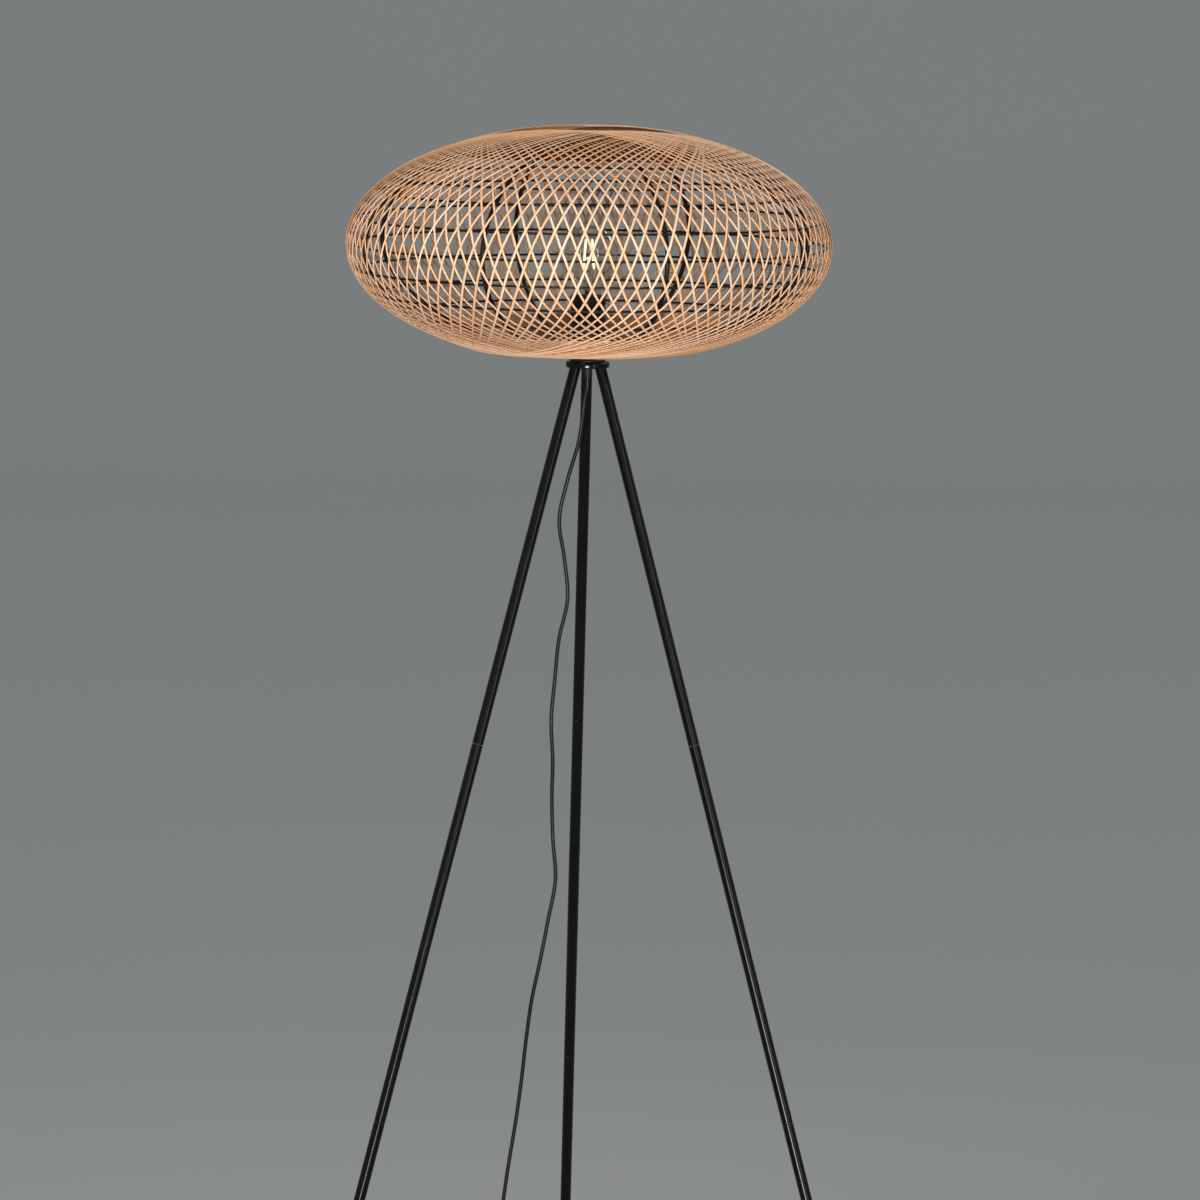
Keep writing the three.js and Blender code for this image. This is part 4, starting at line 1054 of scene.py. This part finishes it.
def addHolder():
    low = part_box("holder_cap")[0].z
    radius, neck, depth = holder["radius"], holder["neck"], holder["neckDepth"]
    lip, edge = holder["lip"], holder["edge"]
    capTop = low + holder["capHeight"]
    dome = []
    for k in range(holder["domeSteps"] + 1):
        turn = math.pi / 2 * k / holder["domeSteps"]
        dome.append((neck + (radius - neck) * math.sin(turn) ** holder["domeCurve"],
                     low + depth + depth * holder["domeRise"] * (1 - math.cos(turn))))
    inner = radius - holder["capWall"]
    insideWall, insideBore = (low + depth * share for share in holder["insideHeights"])
    profile = [(hub["bore"], low), (neck, low), *grooved(neck, low, holder["neckGroove"], depth), *dome,
               (radius, capTop - lip), (radius - lip, capTop), (inner, capTop), (inner, insideWall),
               (hub["bore"], insideBore)]
    turnedPiece("lamp_holder_cap", profile, "black_plastic", "holder_cap", holder)
    top = low + holder["height"]
    foot = capTop + gap
    inner = radius - holder["wall"]
    profile = [(inner, foot), (radius - lip, foot), (radius, foot + lip)]
    for k in range(holder["grips"]):
        profile += grooved(radius, foot + holder["firstGrip"] + holder["gripPitch"] * k, holder["grip"])
    profile += [(radius, top - edge), (radius - edge, top), (inner, top)]
    turnedPiece("lamp_holder_sleeve", profile, "black_plastic", "holder_sleeve", holder)
    return low, top


# Bulb: a glass envelope, a stem in it, and rods on the stem's head that lean inward
bulb = {
    "radius": 0.030,
    "aboveHolder": 0.0725,
    "neck": 0.01235,
    "wall": 0.001,
    "globeLowest": -38.0,
    "globeSteps": 32,
    "neckSteps": 12,
    "capHeight": 0.024,
    "contact": 0.0034,
    "neckInCap": 0.008,
    "sides": 72,
    "sharp": 60,
}
stem = {
    "radius": 0.004,
    "footTop": 0.003,
    "flare": (1.5, 0.006),
    "flareTop": 0.009,
    "taper": 0.008,
    "head": 0.001,
    "headEdge": (0.0003, 0.0005),
    "sides": 48,
    "sharp": 50,
}
rods = {
    "count": 4,
    "radius": 0.0008,
    "length": 0.030,
    "top": 0.0155,
    "circleTop": 0.0046,
    "circleFoot": 0.0074,
    "endTurns": (0.6, 1.1, math.pi / 2),
    "sides": 16,
    "sharp": 60,
}


# The envelope's outline some way inside its surface: the globe, the curve to the neck and the neck
def bulbOutline(inset, centre, capTop):
    radius, neck = bulb["radius"] - inset, bulb["neck"] - inset
    lowest = math.radians(bulb["globeLowest"])
    line = [(0, centre + radius)]
    for k in range(1, bulb["globeSteps"] + 1):
        turn = math.pi / 2 + (lowest - math.pi / 2) * k / bulb["globeSteps"]
        line.append((radius * math.cos(turn), centre + radius * math.sin(turn)))
    waist, height = line[-1]
    for k in range(1, bulb["neckSteps"] + 1):
        share = k / bulb["neckSteps"]
        line.append((waist + (neck - waist) * (1 - (1 - share) ** 2),
                     height + (capTop + bulb["wall"] - height) * share))
    return line + [(neck, capTop - bulb["neckInCap"])]


def addStem(neckFoot, top):
    foot, radius = neckFoot + gap, stem["radius"]
    wide = bulb["neck"] - bulb["wall"] - gap
    flare, flareHeight = stem["flare"]
    head = rods["circleFoot"] + 2 * rods["radius"]
    edgeIn, edgeDown = stem["headEdge"]
    profile = [(0, foot), (wide, foot), (wide, foot + stem["footTop"]),
               (radius * flare, neckFoot + flareHeight), (radius, foot + stem["flareTop"]),
               (radius, top - stem["taper"]), (radius / 2, top - stem["head"]),
               (head - edgeIn, top - stem["head"]), (head, top - edgeDown), (head, top), (0, top)]
    turnedPiece("bulb_glass_stem", profile, "clear_glass", "bulb_stem", stem)


def addRods(foot, lean):
    radius, half = rods["radius"], rods["length"] / 2
    rod = [(0, -half)]
    rod += [(radius * math.sin(turn), -half + radius * (1 - math.cos(turn)))
            for turn in rods["endTurns"]]
    rod += [(wide, -height) for wide, height in rod[::-1]]
    middle = Vector(((rods["circleTop"] + rods["circleFoot"]) / 2, 0, foot + half * math.cos(lean)))
    stand = Matrix.Translation(middle) @ Matrix.Rotation(-lean, 4, "Y")
    for i in range(rods["count"]):
        around = Matrix.Rotation(2 * math.pi * (i + 0.5) / rods["count"], 4, "Z")
        turnedPiece(f"light_rod_{i + 1}", rod, "filament", f"bulb_filament_{i + 1}", rods,
                    axisPlace @ around @ stand)


def addBulb(low, holderTop):
    capTop = low + holder["insertTop"] + gap + bulb["contact"] / 2 + bulb["capHeight"]
    centre = holderTop + bulb["aboveHolder"] - bulb["radius"]
    profile = bulbOutline(0, centre, capTop) + bulbOutline(bulb["wall"], centre, capTop)[::-1]
    turnedPiece("bulb_envelope", profile, "clear_glass", "bulb_glass", bulb)
    lean = math.asin((rods["circleFoot"] - rods["circleTop"]) / rods["length"])
    rodFoot = centre + rods["top"] - rods["length"] * math.cos(lean)
    addStem(capTop - bulb["neckInCap"], rodFoot - gap)
    addRods(rodFoot, lean)


addBulb(*addHolder())
print("holder and bulb made")


# CAD solids that keep their shape and get eased edges
easing = {
    "joined": 1e-6,
    "flat": 1,
    "sharp": 30,
    "eased": 40,
    "segments": 2,
}


def eased(node, name, finish, radius, body="lamp"):
    mesh = bmesh.new()
    mesh.from_mesh(nodes[node].data)
    bmesh.ops.remove_doubles(mesh, verts=mesh.verts, dist=easing["joined"])
    bmesh.ops.dissolve_limit(mesh, angle_limit=math.radians(easing["flat"]), verts=mesh.verts,
                             edges=mesh.edges)
    obj = finished(name, mesh, finish, easing["sharp"])
    bevel = obj.modifiers.new("easedEdges", "BEVEL")
    bevel.width = radius
    bevel.segments = easing["segments"]
    bevel.limit_method = "ANGLE"
    bevel.angle_limit = math.radians(easing["eased"])
    bevel.use_clamp_overlap = True
    standsFor(obj, finish, node, body=body)


eased("switch_base", "switch_lower_shell", "black_plastic", 0.0007)
eased("switch_cover", "switch_upper_shell", "black_plastic", 0.0007)
eased("switch_rocker", "switch_rocker_key", "black_plastic", 0.0004, "rocker")
eased("plug_body", "plug_moulded_body", "black_plastic", 0.0008)
eased("plug_pin_a", "plug_round_pin_a", "plated_steel", 0.0005)
eased("plug_pin_b", "plug_round_pin_b", "plated_steel", 0.0005)
eased("carrier_nut", "hexagon_nut", "plated_steel", 0.0003)

# Strain reliefs of the switch: a rubber sleeve with grooves that tapers along the cord at each end.
# A groove's points are shares of half its width and of its depth.
sleeve = {
    "length": 0.022,
    "housing": 0.0034,
    "tip": 0.0026,
    "start": 0.0004,
    "grooves": 5,
    "grooveWidth": 0.0012,
    "grooveDepth": 0.0005,
    "groove": ((-1, 0), (-0.6, 1), (0.6, 1), (1, 0)),
    "sides": 32,
    "sharp": 35,
}


# The point of a line some way along it, and its direction there
def alongLine(line, distance):
    for start, end in zip(line, line[1:]):
        step = (end - start).length
        if distance <= step:
            return start.lerp(end, distance / step), (end - start).normalized()
        distance -= step
    return line[-1], (line[-1] - line[-2]).normalized()


def addSleeve(name, line):
    length, start = sleeve["length"], sleeve["start"]

    def radiusAt(height):
        return sleeve["housing"] + (sleeve["tip"] - sleeve["housing"]) * (height - start) / length

    profile = [(0, start), (radiusAt(start), start)]
    pitch = length / (sleeve["grooves"] + 1)
    for k in range(1, sleeve["grooves"] + 1):
        for shift, depth in sleeve["groove"]:
            height = start + pitch * k + shift * sleeve["grooveWidth"] / 2
            profile.append((radiusAt(height) - depth * sleeve["grooveDepth"], height))
    profile += [(radiusAt(start + length), start + length), (0, start + length)]
    obj = lathe(name, profile, "dark_plastic", sleeve)
    for vertex in obj.data.vertices:
        centre, tangent = alongLine(line, vertex.co.z)
        across = tangent.cross(Vector((0, 0, 1))).normalized()
        up = across.cross(tangent)
        vertex.co = centre + across * vertex.co.x + up * vertex.co.y
    obj.data.update()
    return standsFor(obj, "dark_plastic")


hangingRun, coiledRun = cordRuns
addSleeve("switch_sleeve_in", hangingRun[1][::-1])
addSleeve("switch_sleeve_out", coiledRun[1])

# The other CAD solids keep their shape and get their finish
slots = {part["node"]: part["material_slot"] for part in frame["record"]["subparts"]}
for name, obj in nodes.items():
    if not obj.hide_render:
        for place in obj.material_slots:
            place.material = finishes[slots[name]]
        if not obj.material_slots:
            obj.data.materials.append(finishes[slots[name]])
print("switch, plug and inner parts finished")


# Stage: a pale floor that sweeps up into a backdrop, and soft studio light
stage = {
    "tone": "#A9A9A7",
    "patch": "#ADADAB",
    "seen": "#828788",
    "flatness": 0.6,
    "halfWidth": 45.0,
    "front": -60.0,
    "back": 9.5,
    "sweep": 2.5,
    "sweepSteps": 12,
    "height": 9.0,
    "paper": {"Roughness": 0.9, "IOR": 1.3},
    "grain": 0.6,
    "grainDetail": 2.0,
}


def addStage():
    line = [(stage["front"], 0.0), (stage["back"], 0.0)]
    for k in range(1, stage["sweepSteps"] + 1):
        turn = math.pi / 2 * k / stage["sweepSteps"]
        line.append((stage["back"] + stage["sweep"] * math.sin(turn),
                     stage["sweep"] * (1 - math.cos(turn))))
    line.append((line[-1][0], stage["height"]))
    points = [(x, y, z) for y, z in line for x in (-stage["halfWidth"], stage["halfWidth"])]
    faces = [(2 * i, 2 * i + 1, 2 * i + 3, 2 * i + 2) for i in range(len(line) - 1)]
    floor = meshObject("studio_floor", points, faces)
    for polygon in floor.data.polygons:
        polygon.use_smooth = True
    material, tree, shader = newMaterial("matteStudioPaper", stage["tone"], stage["paper"])
    fine = grain(tree, stage["grain"], stage["grainDetail"])
    tree.links.new(blended(tree, fine, stage["tone"], stage["patch"]), shader.inputs["Base Color"])
    glow = addNode(tree, "ShaderNodeEmission", inputs={"Color": paint(stage["seen"])})
    rays = addNode(tree, "ShaderNodeLightPath").outputs
    straight = combined(tree, "MAXIMUM", rays["Is Camera Ray"], rays["Is Transmission Ray"])
    direct = combined(tree, "MAXIMUM", straight, rays["Is Glossy Ray"])
    share = combined(tree, "MULTIPLY", direct, stage["flatness"])
    mixed = addNode(tree, "ShaderNodeMixShader", inputs={
        0: share, 1: shader.outputs["BSDF"], 2: glow.outputs["Emission"]})
    tree.links.new(mixed.outputs["Shader"], tree.nodes["Material Output"].inputs["Surface"])
    floor.data.materials.append(material)


# Area lamps as (place from the shade, width and height, strength in watts, spread in degrees)
lamps = {
    "keyPanel": ((-1.6, -2.2, 2.9), (1.4, 1.4), 30, 100),
    "fillPanel": ((2.0, -3.0, 0.4), (0.22, 3.0), 11, 120),
    "rimPanel": ((1.4, 1.7, 1.6), (1.4, 1.4), 12, 100),
    "floorPanel": ((-0.3, -3.4, -0.85), (0.8, 0.8), 11, 45),
}
surroundings = {"tone": "#F4F4F2", "strength": 0.42}


def addLight():
    for name, (place, (width, height), power, beam) in lamps.items():
        data = bpy.data.lights.new(name, "AREA")
        data.shape = "RECTANGLE"
        data.size = width
        data.size_y = height
        data.energy = power
        data.spread = math.radians(beam)
        light = bpy.data.objects.new(name, data)
        spot = shadeCentre + Vector(place)
        light.location = spot
        light.rotation_euler = (shadeCentre - spot).to_track_quat("-Z", "Y").to_euler()
        bpy.context.scene.collection.objects.link(light)
    world = bpy.data.worlds.new("softStudio")
    bpy.context.scene.world = world
    world.use_nodes = True
    shader = world.node_tree.nodes["Background"]
    shader.inputs["Color"].default_value = paint(surroundings["tone"])
    shader.inputs["Strength"].default_value = surroundings["strength"]


addStage()
addLight()
bpy.context.scene.view_settings.view_transform = "Standard"
print("stage and light set")
